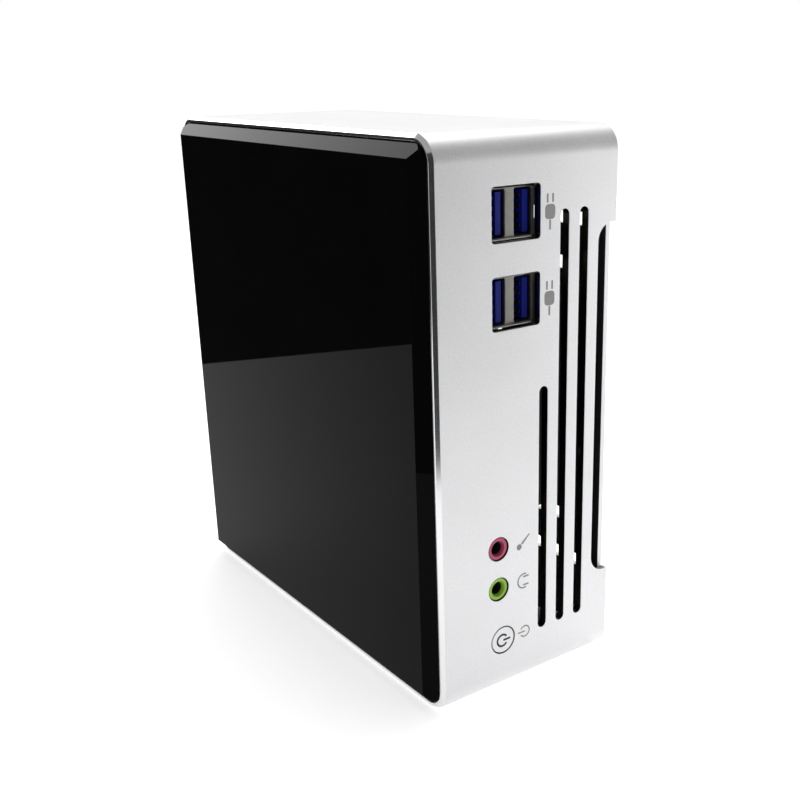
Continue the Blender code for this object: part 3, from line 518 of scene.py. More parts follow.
def piece(name, bm, looks, nodes=(), body="case", steps=(), bevel=0.0, segments=2, sharp=38.0,
          choose=None):
    """Finishes a mesh in millimetres. choose(centre, normal) picks which of the looks a face gets."""
    obj = working(name, carved(name, bm, steps) if steps else bm)
    if bevel:
        modifier = obj.modifiers.new("edges", "BEVEL")
        modifier.width = bevel
        modifier.segments = segments
        modifier.limit_method = "ANGLE"
        modifier.angle_limit = math.radians(sharp)
        modifier.use_clamp_overlap = False
    mesh = settled(obj)
    mesh.shade_smooth()
    mesh.set_sharp_from_angle(angle=math.radians(sharp))
    obj = working(name, mesh)
    modifier = obj.modifiers.new("flat faces stay flat", "WEIGHTED_NORMAL")
    modifier.keep_sharp = True
    mesh = settled(obj)
    mesh.transform(Matrix.Scale(MM, 4))
    return placed(name, mesh, looks, nodes, body, choose)


def placed(name, mesh, looks, nodes=(), body="case", choose=None):
    """Gives a mesh in metres its finishes and its place in the frame."""
    mesh.name = name
    looks = [looks] if isinstance(looks, str) else looks
    mesh.materials.clear()
    for look in looks:
        mesh.materials.append(finishes[look])
    for face in mesh.polygons:
        face.material_index = choose(face.center / MM, face.normal) if choose else 0
    obj = bpy.data.objects.new(name, mesh)
    scene.collection.objects.link(obj)
    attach(obj, body)
    if nodes:
        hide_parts(*nodes)
    return obj


print("piece helpers ready")

# %% [markdown]
# ## The openings in the walls
# All the holes of a port wall are cut from the same drawing, so they are listed once. The places come from
# the pieces that show through them: a port's opening is centred on its steel shell, a jack's on its nose.

# %% Where the openings are
usb = [Box("usb_1_shell"), Box("usb_2_shell")]
jacks = [Box("microphone_jack"), Box("headphone_jack")]
button = Box("power_button")
inlet = Box("power_inlet")
videos = [Box("video_port_1"), Box("video_port_2")]
network = Box("network_jack")
rear_usb = Box("rear_usb_shell")

USB_OPENING = (15.8, 14.0)
OPENING_RISE = 0.1  # how far the openings lie above the middle of the ports
USB_Y = LIP + 25.8
JACK_Y = LIP + 19.55
INLET_Y = LIP + 22.4
JACK_HOLE = 3.5
BUTTON_HOLE = 4.2
SLOT_WIDTH = 3.0
SLOT_LOW, SLOT_HIGH, SHORT_SLOT_HIGH = 15.9, 134.5, 88.1
SLOT_Y = [LIP + depth for depth in (35.2, 42.0, 48.8)]
NOTCH_Z = (27.1, 129.6)
NOTCH_Y = LIP + 54.1
INLET_HOLE = 4.3


def slot_outline(y, high):
    return rounded(SLOT_WIDTH, high - SLOT_LOW, SLOT_WIDTH / 2 - 0.001, (y, (SLOT_LOW + high) / 2))


def notch_outline():
    depth, height = 2 * (RIM - NOTCH_Y), NOTCH_Z[1] - NOTCH_Z[0]
    return rounded(depth, height, 5.0, (NOTCH_Y + depth / 2, sum(NOTCH_Z) / 2), 12)


def video_outline(port, grow=0.0):
    """The flat-topped shape of a video socket, in (y, z)."""
    half, edge, shoulder = port.size.z / 2 + grow, port.size.y / 2 + grow, 5.3 + 0.6 * grow
    corners = ((-edge, -half), (-edge, half), (0.5, half), (edge, shoulder), (edge, -shoulder), (0.5, -half))
    return [(port.middle.y + y, port.middle.z + z) for y, z in corners]


def near_wall_outlines():
    outlines = [rounded(*USB_OPENING, 1.0, (USB_Y, port.middle.z + OPENING_RISE)) for port in usb]
    outlines += [circle(JACK_HOLE, (JACK_Y, jack.middle.z)) for jack in jacks]
    outlines.append(circle(BUTTON_HOLE, (button.middle.y, button.middle.z), 64))
    outlines += [slot_outline(SLOT_Y[0], SHORT_SLOT_HIGH)]
    return outlines + [slot_outline(y, SLOT_HIGH) for y in SLOT_Y[1:]] + [notch_outline()]


def far_wall_outlines():
    rear_low = rear_usb.low.y - 0.5
    rear_width = rear_usb.high.y + 0.5 - rear_low
    rear_middle = (rear_low + rear_width / 2, rear_usb.middle.z)
    outlines = [circle(INLET_HOLE, (INLET_Y, inlet.middle.z))]
    outlines += [video_outline(port, 0.9) for port in videos]
    outlines.append(rounded(network.size.y + 1, network.size.z + 1, 0.8, (network.middle.y, network.middle.z)))
    outlines.append(rounded(rear_width, rear_usb.size.z + 1, 0.8, rear_middle))
    return outlines + [slot_outline(y, SLOT_HIGH) for y in SLOT_Y[1:]] + [notch_outline()]


print("near wall:", len(near_wall_outlines()), "openings; far wall:", len(far_wall_outlines()))

# %% [markdown]
# ## The aluminium shell
# The real shell is a length of extruded tube, machined and then blasted. Here a section is swept round the
# four sides: chamfered lip, ledge for the front panel, wall and rim. The chamfer and the lip are cut after
# anodising, so they get the bright finish by where their faces are. Corner posts inside take the cover's
# screws.

# %% Sweep and cut the shell


def case_outline(inset, steps=16):
    return rounded(2 * (SIDE - inset), 2 * (MID_Z - inset), max(CORNER - inset, 0.5), (0.0, MID_Z), steps)


def swept_ring(section):
    """Sweeps a closed section round the case. Each of its points is (inset from the outside, y)."""
    bm = bmesh.new()
    loops = [[bm.verts.new((x, y, z)) for x, z in case_outline(inset)] for inset, y in section]
    for here, there in zip(loops, loops[1:] + loops[:1]):
        for k, corner in enumerate(here):
            after = (k + 1) % len(here)
            bm.faces.new((corner, here[after], there[after], there[k]))
    return bm


LEDGE = (LIP + 4.6, LIP + 6.2, 3.8)  # its front, its back and how far in it reaches
shell_section = (
    (LIP_CHAMFER, LIP),
    (LIP_INSET, LIP),
    (LIP_INSET, LEDGE[0]),
    (LEDGE[2], LEDGE[0]),
    (LEDGE[2], LEDGE[1]),
    (WALL, LEDGE[1]),
    (WALL, RIM),
    (SKIN, RIM),
    (SKIN, LIP + LIP_CHAMFER - SKIN),
)


def corners_in(inset):
    """(x, z) of a point near each corner of the case, as far in from both sides."""
    return [(sx * (SIDE - inset), MID_Z + sz * (MID_Z - inset)) for sx in (-1, 1) for sz in (-1, 1)]


PAD_X, PAD_Y, PAD_Z = 68.4, (LIP + 9.0, LIP + 52.4), (11.0, 142.0)
BUTTON_SINK = 5.5
SCREW_INSET, POST_INSET, POST, POST_START = 7.6, 7.05, 8.9, LIP + 49.0


def posts_and_pads():
    """Corner posts for the cover's screws, and the thicker part of each port wall."""
    bm = bmesh.new()
    for sign in (-1, 1):
        block((sign * PAD_X, sign * (SIDE - WALL + 0.5)), PAD_Y, PAD_Z, bm)
    for x, z in corners_in(POST_INSET):
        along_y(rounded(POST, POST, 1.2, (x, z), 4), POST_START, cover.low.y - 0.3, bm)
    return bm


def shell_cutters():
    bm = bmesh.new()
    for outline in near_wall_outlines():
        along_x(outline, SIDE - 3, SIDE + 1, bm)
    for outline in far_wall_outlines():
        along_x(outline, -SIDE - 1, 3 - SIDE, bm)
    for x, z in corners_in(SCREW_INSET):
        along_y(circle(1.8, (x, z), 24), LIP + 50.0, RIM, bm)
    return bm


def shell_look(centre, normal):
    """Bright on the chamfer and the lip's front, dark inside the openings as painted shade, and blasted elsewhere.
    """
    if centre.y < LIP + LIP_CHAMFER and normal.y < -0.3:
        return 1
    # Faces inside the openings get the dark finish, which paints the shade inside the wall.
    inside = PAD_X - 0.1 < abs(centre.x) < SIDE - 0.16 and abs(normal.x) < 0.6
    if inside and PAD_Y[0] + 1 < centre.y < RIM - 0.2 and PAD_Z[0] + 0.1 < centre.z < PAD_Z[1] - 0.1:
        return 2
    return 0


button_sink = along_x(circle(BUTTON_SINK, (button.middle.y, button.middle.z)), SIDE - 3, SIDE - WALL)
shell_steps = (("UNION", posts_and_pads()), ("DIFFERENCE", shell_cutters()), ("DIFFERENCE", button_sink))
piece("case_shell", swept_ring(shell_section), ["blasted_aluminium", "diamond_cut_edge", "painted_shade_cut_face"],
      ("shell",), steps=shell_steps, bevel=0.12, choose=shell_look)
print("shell wall", WALL, "mm, lip chamfer", LIP_CHAMFER, "mm")

# %% [markdown]
# ## The glass
# The pane is thick, and its front edge is ground to four flat bevels that meet in mitres at the corners. A
# rounded slab is intersected with a four-sided frustum, which gives exactly those flat mitred bevels. The
# edge where glass has been ground is dressed very slightly, so the bevel here is only a few hundredths
# wide.

# %% Grind the glass
BEVEL_INSET = 5.6
BEVEL_FOOT = LIP + 0.3
GLASS_EDGE = SIDE - glass.high.x


def bevel_frustum():
    slope = (BEVEL_INSET - GLASS_EDGE) / (BEVEL_FOOT - glass.low.y)
    back = glass.high.y + 0.4
    bm = bmesh.new()
    for inset, y in ((BEVEL_INSET, glass.low.y), (GLASS_EDGE - slope * (back - BEVEL_FOOT), back)):
        for x, z in corners_in(inset):
            bm.verts.new((x, y, z))
    bmesh.ops.convex_hull(bm, input=bm.verts)
    return bm


piece("front_glass", along_y(case_outline(GLASS_EDGE), glass.low.y, glass.high.y), "black_glass",
      ("glass_panel",), steps=(("INTERSECT", bevel_frustum()),), bevel=0.06, segments=2, sharp=12.0)
print("glass", [round(v, 1) for v in glass.size], "mm")

# %% [markdown]
# ## Two small Geometry Nodes trees
# Contacts and wires are rows of blocks. Feet and screws are one piece copied to four corners. Both are
# rules, so both are trees: points first, then instances on them, then Realize Instances and Set Material.
# The sizes are inputs, which are set by the socket's identifier before the object is evaluated.

# %% Tree helpers


def new_tree(name, inputs):
    """A Geometry Nodes tree with a Geometry input, the named inputs and a Geometry output."""
    tree = bpy.data.node_groups.new(name, "GeometryNodeTree")
    sockets = {"Geometry": "NodeSocketGeometry", **inputs}
    for socket, kind in sockets.items():
        tree.interface.new_socket(socket, in_out="INPUT", socket_type=kind)
    tree.interface.new_socket("Geometry", in_out="OUTPUT", socket_type="NodeSocketGeometry")
    graph = Graph(tree)
    source = tree.nodes.new("NodeGroupInput")
    return graph, {socket: Wire(graph, source.outputs[socket]) for socket in sockets}


def end_tree(graph, geometry, look):
    real = graph.node("GeometryNodeRealizeInstances", None, {0: geometry})
    painted = graph.node("GeometryNodeSetMaterial", None, {"Geometry": real, "Material": look})
    sink = graph.tree.nodes.new("NodeGroupOutput")
    graph.tree.links.new(painted.socket, sink.inputs[0])
    return graph.tree


def grown(name, tree, values, start=None):
    """The mesh, in millimetres, that a tree makes from a starting mesh and its inputs."""
    obj = working(name, start or bmesh.new())
    modifier = obj.modifiers.new(tree.name, "NODES")
    modifier.node_group = tree
    for item in tree.interface.items_tree:
        if item.in_out == "INPUT" and item.name in values:
            modifier[item.identifier] = values[item.name]
    return settled(obj)


def row_tree():
    kinds = {"Count": "NodeSocketInt", "Start": "NodeSocketVector", "Step": "NodeSocketVector",
             "Size": "NodeSocketVector", "Finish": "NodeSocketMaterial"}
    graph, given = new_tree("row of blocks", kinds)
    points = graph.node("GeometryNodeMeshLine", {"mode": "OFFSET"},
                        {"Count": given["Count"], "Start Location": given["Start"], "Offset": given["Step"]})
    cube = graph.node("GeometryNodeMeshCube", None, {"Size": given["Size"]})
    copies = graph.node("GeometryNodeInstanceOnPoints", None, {"Points": points, "Instance": cube})
    return end_tree(graph, copies, given["Finish"])


def corner_tree():
    kinds = {"Width": "NodeSocketFloat", "Height": "NodeSocketFloat", "Middle": "NodeSocketVector",
             "Finish": "NodeSocketMaterial"}
    graph, given = new_tree("one at each corner", kinds)
    grid = graph.node("GeometryNodeMeshGrid", None, {"Size X": given["Width"], "Size Y": given["Height"],
                                                     "Vertices X": 2, "Vertices Y": 2})
    upright = graph.node("GeometryNodeTransform", None, {"Geometry": grid, "Translation": given["Middle"],
                                                         "Rotation": (math.pi / 2, 0, 0)})
    copies = graph.node("GeometryNodeInstanceOnPoints", None,
                        {"Points": upright, "Instance": given["Geometry"]})
    return end_tree(graph, copies, given["Finish"])


ROW = row_tree()
CORNERS = corner_tree()


def row(name, count, start, step, size, look, nodes=(), body="case", bevel=0.0):
    """A row of blocks. start is the middle of the first one."""
    values = {"Count": count, "Start": start, "Step": step, "Size": size, "Finish": finishes[look]}
    return piece(name, grown(name, ROW, values), look, nodes, body, bevel=bevel)


def at_corners(name, bm, inset, look, nodes, steps=(), bevel=0.0):
    """One piece, drawn on the Y axis, copied to a point near each corner."""
    one = carved(name, bm, steps) if steps else bm
    values = {"Width": 2 * (SIDE - inset), "Height": 2 * (MID_Z - inset), "Middle": (0.0, 0.0, MID_Z),
              "Finish": finishes[look]}
    return piece(name, grown(name, CORNERS, values, one), look, nodes, bevel=bevel)


print("trees:", [tree.name for tree in bpy.data.node_groups])

# %% [markdown]
# ## The back cover
# The cover is a stamped aluminium sheet, and its long slots are laid like bricks so that the sheet stays
# stiff. That is a rule, so a tree lays a grid of points, shifts every odd row by half a brick, drops the
# points whose slot would leave the sheet, and cuts a capsule at each of the rest. The rows over the fan
# stop short of the sides. The cover's inner face is given black plastic, which paints the shade inside the
# case.

# %% Cut the cover's slots with a tree
ROW_PITCH, ROW_HEIGHT = 12.9, 3.7
BRICK_PITCH, BRICK_LENGTH = 18.2, 14.8
FAN_REACH, FULL_ROWS_FROM = 45.0, 3
FOOT_INSET = 17.5
COVER_INSET = SIDE - cover.high.x


def slot_cutter(graph, length, height, depth):
    """A capsule prism made of a filleted rectangle, filled, extruded and closed."""
    outline = graph.node("GeometryNodeCurvePrimitiveQuadrilateral", None, {"Width": length, "Height": height})
    radius = height * 0.498  # just under half, so that the two arcs of an end don't meet
    soft = graph.node("GeometryNodeFilletCurve", {"mode": "POLY"},
                      {"Curve": outline, "Radius": radius, "Count": 8})
    face = graph.node("GeometryNodeFillCurve", None, {"Curve": soft})
    pushed = graph.node("GeometryNodeExtrudeMesh", None,
                        {"Mesh": face, "Offset Scale": depth, "Individual": False})
    under = graph.node("GeometryNodeFlipFaces", None, {"Mesh": face})
    both = graph.node("GeometryNodeJoinGeometry", None, {0: pushed})
    graph.tree.links.new(under.socket, both.socket.node.inputs[0])
    closed = graph.node("GeometryNodeMergeByDistance", None, {"Geometry": both, "Distance": 0.001})
    lifted = {"Geometry": closed, "Rotation": (math.pi / 2, 0, 0)}
    return graph.node("GeometryNodeTransform", None, lifted)


def brick_tree():
    lengths = ("Row Pitch", "Brick Pitch", "Length", "Height", "Fan Reach", "Full Reach", "Full From", "Middle Z",
               "Back Y", "Depth")
    kinds = {name: "NodeSocketFloat" for name in lengths}
    kinds.update({"Rows": "NodeSocketInt", "Columns": "NodeSocketInt", "Finish": "NodeSocketMaterial"})
    graph, given = new_tree("slots laid like bricks", kinds)
    grid = graph.node("GeometryNodeMeshGrid", None, {
        "Size X": given["Brick Pitch"] * (given["Columns"] - 1),
        "Size Y": given["Row Pitch"] * (given["Rows"] - 1),
        "Vertices X": given["Columns"], "Vertices Y": given["Rows"]})
    x, y, _ = graph.parts(graph.node("GeometryNodeInputPosition"))
    line = (y / given["Row Pitch"] + 0.5).floor()
    shifted = x + (line % 2.0) * given["Brick Pitch"] * 0.5
    bent = graph.node("ShaderNodeCombineXYZ", None, {0: shifted, 1: given["Back Y"], 2: y + given["Middle Z"]})
    moved = graph.node("GeometryNodeSetPosition", None, {"Geometry": grid, "Position": bent})
    # A Position node reads the geometry it is used on, so from here these are the shifted places.
    x, _, z = graph.parts(graph.node("GeometryNodeInputPosition"))
    far_row = abs((z - given["Middle Z"]) / given["Row Pitch"]) > given["Full From"] - 0.5
    reach = given["Fan Reach"] + far_row * (given["Full Reach"] - given["Fan Reach"])
    outside = abs(x) + given["Length"] * 0.5 > reach
    inside = graph.node("GeometryNodeDeleteGeometry", {"domain": "POINT"},
                        {"Geometry": moved, "Selection": outside})
    cutter = slot_cutter(graph, given["Length"], given["Height"], given["Depth"])
    copies = graph.node("GeometryNodeInstanceOnPoints", None, {"Points": inside, "Instance": cutter})
    real = graph.node("GeometryNodeRealizeInstances", None, {0: copies})
    cut = graph.node("GeometryNodeMeshBoolean", {"operation": "DIFFERENCE", "solver": "EXACT"},
                     {0: given["Geometry"], 1: real})
    return end_tree(graph, cut, given["Finish"])


def cover_plate():
    sinks = bmesh.new()
    for x, z in corners_in(SCREW_INSET):
        sink = turned(((0, -2.4), (1.0, -2.4), (4.1, 0.75), (0, 0.75)), (x, RIM, z), (0, 1, 0))
        mesh = bpy.data.meshes.new("sink")
        sink.to_mesh(mesh)
        sink.free()
        sinks.from_mesh(mesh)
    for x, z in corners_in(FOOT_INSET):
        along_y(circle(1.9, (x, z), 24), cover.low.y - 1, RIM + 1, sinks)
    plate = along_y(case_outline(COVER_INSET), cover.low.y, cover.high.y)
    return carved("cover_plate", plate, (("DIFFERENCE", sinks),))


slot_values = {
    "Rows": 9, "Columns": 9, "Row Pitch": ROW_PITCH, "Brick Pitch": BRICK_PITCH, "Length": BRICK_LENGTH,
    "Height": ROW_HEIGHT, "Fan Reach": FAN_REACH - COVER_INSET, "Full Reach": SIDE - COVER_INSET,
    "Full From": float(FULL_ROWS_FROM), "Middle Z": MID_Z, "Back Y": RIM + 1.0, "Depth": 4.0,
    "Finish": finishes["blasted_aluminium"],
}
slotted = grown("rear_cover", brick_tree(), slot_values, cover_plate())
# The inner face gets black plastic, which paints the shade inside the case.
piece("rear_cover", slotted, ["blasted_aluminium", "black_plastic"], ("back_cover",), bevel=0.12,
      choose=lambda centre, normal: 1 if normal.y < -0.7 else 0)
print("cover", [round(v, 1) for v in cover.size], "mm")

# %% [markdown]
# ## Screws and feet
# Each is drawn once on the Y axis at the cover's face: a turned profile, and for the screw a cross-shaped
# recess cut with a Boolean. The corner tree copies it to the four places.

# %% Screws and feet at the corners


def cross_recess(reach, half, low, high):
    bm = bmesh.new()
    arm = ((reach, -half), (reach, half), (half, half))
    points = []
    for quarter in range(4):
        spin = Matrix.Rotation(math.pi / 2 * quarter, 2)
        points += [tuple(spin @ Vector(corner)) for corner in arm]
    return along_y(points, low, high, bm)


screw_profile = ((0, -9.4), (1.1, -9.4), (1.45, -8.9), (1.45, -1.35), (2.7, -0.12), (2.62, -0.05), (0, -0.05))
at_corners("rear_screws", turned(screw_profile, (0, RIM, 0), (0, 1, 0)), SCREW_INSET, "nickel_plate",
           [f"cover_screw_{k}" for k in (1, 2, 3, 4)],
           (("DIFFERENCE", cross_recess(1.5, 0.32, RIM - 1.0, RIM + 1)),), 0.05)
foot_profile = ((0, -3.6), (1.0, -3.6), (2.4, -2.0), (1.55, -1.9), (1.55, 0.3), (5.5, 0.3),
                *arc((4.9, 1.5), 0.6, 0, 90), (3.6, 2.1), *arc((3.3, 2.1), 0.3, 0, -90, 3), (0, 1.8))
at_corners("rubber_feet", turned(foot_profile, (0, RIM, 0), (0, 1, 0)), FOOT_INSET, "black_rubber",
           [f"rubber_foot_{k}" for k in (1, 2, 3, 4)])
print("screws and feet copied to 4 corners")

# %% [markdown]
# ## Stacked ports
# Two ports share one folded steel can, whose mouths flare a little so that a plug finds its way in. Inside
# each is a plastic tongue with gold contacts on the side that faces the gap. The can is a rounded bar with
# tapered mouths cut from it. The contacts are rows of blocks.

# %% Build the port pairs
PORT = (5.12, 11.6)
PORT_SHIFT = 4.4
FLARE = 0.42
TONGUE = (1.84, 10.8)
TONGUE_GAP = 0.7
MOUTH_DEPTH, TAPER = 12.3, 0.9
HALF_CAN = 8.1  # from the middle of the two mouths to the can's back edge
BACK_WALL, ROOM_END, ROOM_SPARE = 0.6, 4.2, 0.3
CONTACTS, CONTACT_PITCH = 4, 2.45
LIP_SECTION = ((0.05, -6.0), (0.7, -6.02), (1.1, -6.25), (1.1, -6.5), (0.6, -6.28), (0.05, -6.25))


def lofted(stations, bm):
    """A solid through outlines in (y, z) that have the same number of points. Each station is (x, outline)."""
    loops = [[bm.verts.new((x, y, z)) for y, z in outline] for x, outline in stations]
    bm.faces.new(loops[0])
    bm.faces.new(loops[-1])
    for here, there in zip(loops, loops[1:]):
        for k in range(len(here)):
            after = (k + 1) % len(here)
            bm.faces.new((here[k], here[after], there[after], there[k]))
    return bm


def port_pair(prefix, nodes, sign, tongue_look):
    can = Box(nodes[0])
    front = can.high.x if sign > 0 else can.low.x
    back = can.low.x if sign > 0 else can.high.x
    y, z = can.high.y - HALF_CAN, can.middle.z
    outline = rounded(can.size.y, can.size.z, 0.6, (can.middle.y, z))
    mouths = bmesh.new()
    for shift in (-PORT_SHIFT, PORT_SHIFT):
        straight = rounded(*PORT, 0.45, (y + shift, z))
        flared = rounded(PORT[0] + 2 * FLARE, PORT[1] + 1.3 * FLARE, 0.6, (y + shift, z))
        lofted(((front - sign * MOUTH_DEPTH, straight), (front - sign * TAPER, straight), (front, flared),
                (front + sign, flared)), mouths)
    # The room behind the mouths is a little larger than they are, because faces that coincide spoil the cut.
    room = along_x(rounded(14.3, PORT[1] + ROOM_SPARE, 0.3, (y, z)), back + sign * BACK_WALL,
                   back + sign * ROOM_END)
    piece(f"{prefix}_can", along_x(outline, back, front), "tinned_steel", (nodes[0],),
          steps=(("DIFFERENCE", room), ("DIFFERENCE", mouths)), bevel=0.05)
    if sign > 0:
        # The lip's light steel is a painted highlight along the mouths' lower edge.
        lip = prism(bmesh.new(), [(x, y - 7.6, z + rise) for x, rise in LIP_SECTION], (0, 14.2, 0))
        bmesh.ops.translate(lip, verts=lip.verts, vec=(front, 0, 0))
        piece(f"{prefix}_lip", lip, "bright_lip", bevel=0.06)
    spine = along_x(rounded(13.3, PORT[1] - 0.6, 0.3, (y, z)), back + sign * (BACK_WALL + 0.3),
                    back + sign * (ROOM_END - 0.3))
    blades = bmesh.new()
    for shift in (-PORT_SHIFT, PORT_SHIFT):
        middle = y + shift + PORT[0] / 2 - TONGUE_GAP - TONGUE[0] / 2
        along_x(rounded(*TONGUE, 0.25, (middle, z), 3), back + sign * 2.0, front - sign * 0.3, blades)
        first = (front - sign * 4.6, middle - TONGUE[0] / 2 - SKIN, z - CONTACT_PITCH * (CONTACTS - 1) / 2)
        row(f"{prefix}_contacts_{1 if shift < 0 else 2}", CONTACTS, first, (0, 0, CONTACT_PITCH),
            (6.6, 0.1, 1.1), "gold_contact", bevel=0.03)
    piece(f"{prefix}_blades", spine, tongue_look, (nodes[1],), steps=(("UNION", blades),),
          bevel=0.16)


for k in (1, 2):
    port_pair(f"port_pair_{k}", (f"usb_{k}_shell", f"usb_{k}_tongues"), 1, "blue_plastic")
port_pair("far_port_pair", ("rear_usb_shell", "rear_usb_tongues"), -1, "black_plastic")
print("port mouth", PORT, "mm, flared by", FLARE)

# %% [markdown]
# ## Audio sockets and the power button
# A socket's round nose sits flush in the wall, with a soft outer edge and a countersunk bore whose deep part
# is black, painted shade for the inside of the hole. All of it is one turned profile fused to a square body.
# The button is turned too. Its mark is ink, so it is a film a few hundredths thick on the cap.

# %% Turn the sockets and the button


def audio_socket(name, node, look):
    box = Box(node)
    at = (SIDE, JACK_Y, box.middle.z)
    nose = turned(((0, -4.8), (3.25, -4.8), (3.25, -0.7), *arc((3.0, -0.62), 0.25, 0, 90, 4), (0, -0.37)), at,
                  (1, 0, 0))
    bore_profile = ((0, -13.4), (1.8, -13.4), (1.8, -1.35), (2.15, -0.75), (2.3, -0.36), (2.3, 1.0), (0, 1.0))
    bore = turned(bore_profile, at, (1, 0, 0))
    body = block((box.low.x, 66.6), (box.low.y, LIP + 22.4), (box.middle.z - 3.1, box.middle.z + 3.1))

    # The deep part of the bore gets black plastic: painted shade for the inside of the hole.
    def painted_shade_in_bore(centre, normal):
        near = math.hypot(centre.y - JACK_Y, centre.z - box.middle.z)
        return 1 if near < 1.9 and centre.x < SIDE - 1.4 else 0

    piece(name, body, [look, "black_plastic"], (node,), steps=(("UNION", nose), ("DIFFERENCE", bore)),
          bevel=0.04, choose=painted_shade_in_bore)


audio_socket("microphone_socket", "microphone_jack", "pink_plastic")
audio_socket("headphone_socket", "headphone_jack", "lime_plastic")

BUTTON_AT = (SIDE, button.middle.y, button.middle.z)
cap_profile = ((0, -6.2), (1.4, -6.2), (1.4, -3.8), (5.0, -3.8), (5.0, -2.3), (3.88, -2.3), (3.88, -0.32),
               *arc((3.63, -0.32), 0.25, 0, 90), (0, -0.07))
piece("button_cap", turned(cap_profile, BUTTON_AT, (1, 0, 0), 64), "blasted_aluminium",
      ("power_button",), "button")
print("button", round(button.size.y, 1), "mm across its flange")

# %% [markdown]
# ## Printed marks
# Each socket has a small grey pictogram beside it. A print has hardly any thickness, so each mark is a film
# that stops level with the solid's face. Two outlines do all of it: a straight bar with round ends, and a
# curved band with round ends.

# %% Draw the pictograms


def bar_outline(start, end, start_width, end_width=None, steps=6):
    """A straight stroke with round ends, in (y, z)."""
    end_width = end_width or start_width
    heading = math.degrees(math.atan2(end[1] - start[1], end[0] - start[0]))
    return [*arc(start, start_width / 2, heading + 90, heading + 270, steps),
            *arc(end, end_width / 2, heading - 90, heading + 90, steps)]


def band_outline(centre, radius, width, start, end, steps=24):
    """A curved stroke with round ends, in (y, z). Angles are in degrees from +Y towards +Z."""
    low, high = arc(centre, radius, start, end, 1)
    return [*arc(centre, radius + width / 2, start, end, steps),
            *arc(high, width / 2, end, end + 180, 5)[1:-1],
            *arc(centre, radius - width / 2, end, start, steps),
            *arc(low, width / 2, start + 180, start + 360, 5)[1:-1]]


FILM = 0.045  # the thickness of a print


def print_mark(name, outlines, look="grey_ink", high=SIDE - 0.002, body="case"):
    bm = bmesh.new()
    for outline in outlines:
        along_x(outline, high - FILM, high, bm)
    piece(name, bm, look, body=body)


MARK_Y = LIP + 28.2  # the column of marks beside the sockets
power_mark = (button.middle.y, button.middle.z)
print_mark("button_mark", [
    band_outline((power_mark[0] - 0.3, power_mark[1] - 0.1), 1.75, 0.62, 42, 318),
    bar_outline((power_mark[0] + 0.3, power_mark[1] - 0.1), (power_mark[0] + 2.3, power_mark[1] - 0.1), 0.62),
], "dark_ink", SIDE - 0.05, "button")
print_mark("power_mark", [
    band_outline((MARK_Y + 0.6, 16.8), 1.65, 0.42, 218, 502),
    bar_outline((MARK_Y + 0.5, 16.8), (MARK_Y - 1.7, 16.8), 0.42),
])
print_mark("headphone_mark", [
    band_outline((MARK_Y + 0.25, 32.75), 2.15, 0.45, 72, 288),
    bar_outline((MARK_Y + 0.15, 34.0), (MARK_Y + 1.75, 34.0), 0.5),
    bar_outline((MARK_Y + 0.15, 31.5), (MARK_Y + 1.75, 31.5), 0.5),
])
print_mark("microphone_mark", [
    circle(0.9, (MARK_Y - 1.45, 43.45), 24),
    bar_outline((MARK_Y - 0.35, 44.35), (MARK_Y + 2.1, 46.5), 0.75, 0.4),
])


def plug_outlines(y, z):
    """A mains plug seen from the side: a cord, a body and two pins."""
    return [
        bar_outline((y, z - 4.4), (y, z - 2.3), 0.6),
        rounded(3.4, 3.8, 1.0, (y, z - 0.05), 4),
        bar_outline((y - 0.9, z + 2.5), (y - 0.9, z + 4.3), 0.6),
        bar_outline((y + 0.9, z + 2.5), (y + 0.9, z + 4.3), 0.6),
    ]


for k, port in enumerate(usb, 1):
    print_mark(f"port_mark_{k}", plug_outlines(LIP + 36.9, port.middle.z - 0.4))
print("marks printed")

# %% [markdown]
# ## Inside the far wall's sockets
# A socket reads as real when its inside is not one colour. A network socket has eight gold wires side by
# side and two small windows for its lamps, a video socket has a black tongue with gold fingers, and a power
# inlet has a plated pin. The wires and fingers are rows, so the row tree makes them. The tongues and the
# pin are a sliver bigger than the solids' own, which they cover.

# %% Wires, windows, tongues and the pin
WIRES, WIRE_PITCH, WIRE_REACH = 8, 1.27, 4.9
LAMP_RISE, TONGUE_HALF, PIN_RADIUS = 6.95, (0.52, 5.42), 1.07
network_y, network_z = network.middle.y, network.middle.z
row("network_wires", WIRES, (network.low.x + 6.0, network_y + WIRE_REACH, network_z - 3.5 * WIRE_PITCH),
    (0, 0, WIRE_PITCH), (9.0, 0.3, 0.5), "gold_contact")
for name, side, look in (("network_lamp_amber", -1, "amber_window"), ("network_lamp_green", 1, "lime_plastic")):
    window = block((network.low.x - SKIN, network.low.x + 0.3), (network_y - 5.8, network_y - 3.4),
                   (network_z + side * LAMP_RISE - 0.6, network_z + side * LAMP_RISE + 0.6))
    piece(name, window, look, bevel=0.05)
for number, port in enumerate(videos, 1):
    y, z = port.middle.y, port.middle.z
    root, tip = port.low.x + 10.0, port.low.x + 1.0 - SKIN
    half_y, half_z = TONGUE_HALF
    piece(f"video_tongue_{number}", block((tip, root), (y - half_y, y + half_y), (z - half_z, z + half_z)),
          "black_plastic", bevel=0.12)
    row(f"video_fingers_{number}", 9, (tip + 3.6, y - half_y - SKIN, z - 4.0), (0, 0, 1.0), (6.0, 0.06, 0.42),
        "gold_contact")
pin = along_x(circle(PIN_RADIUS, (INLET_Y, inlet.middle.z), 32), inlet.low.x + 1.6 - SKIN, inlet.low.x + 9.0)
piece("inlet_pin", pin, "nickel_plate", bevel=0.35, segments=4)

# %% [markdown]
# ## The pieces that keep their solids
# Inside, most solids already have the right shape, and little of them is seen through the slots. They keep
# their meshes and only get a finish. On a populated board the finish itself tells laminate from chips:
# anything that stands off the laminate is moulded epoxy.

# %% Finishes for the solids that stay


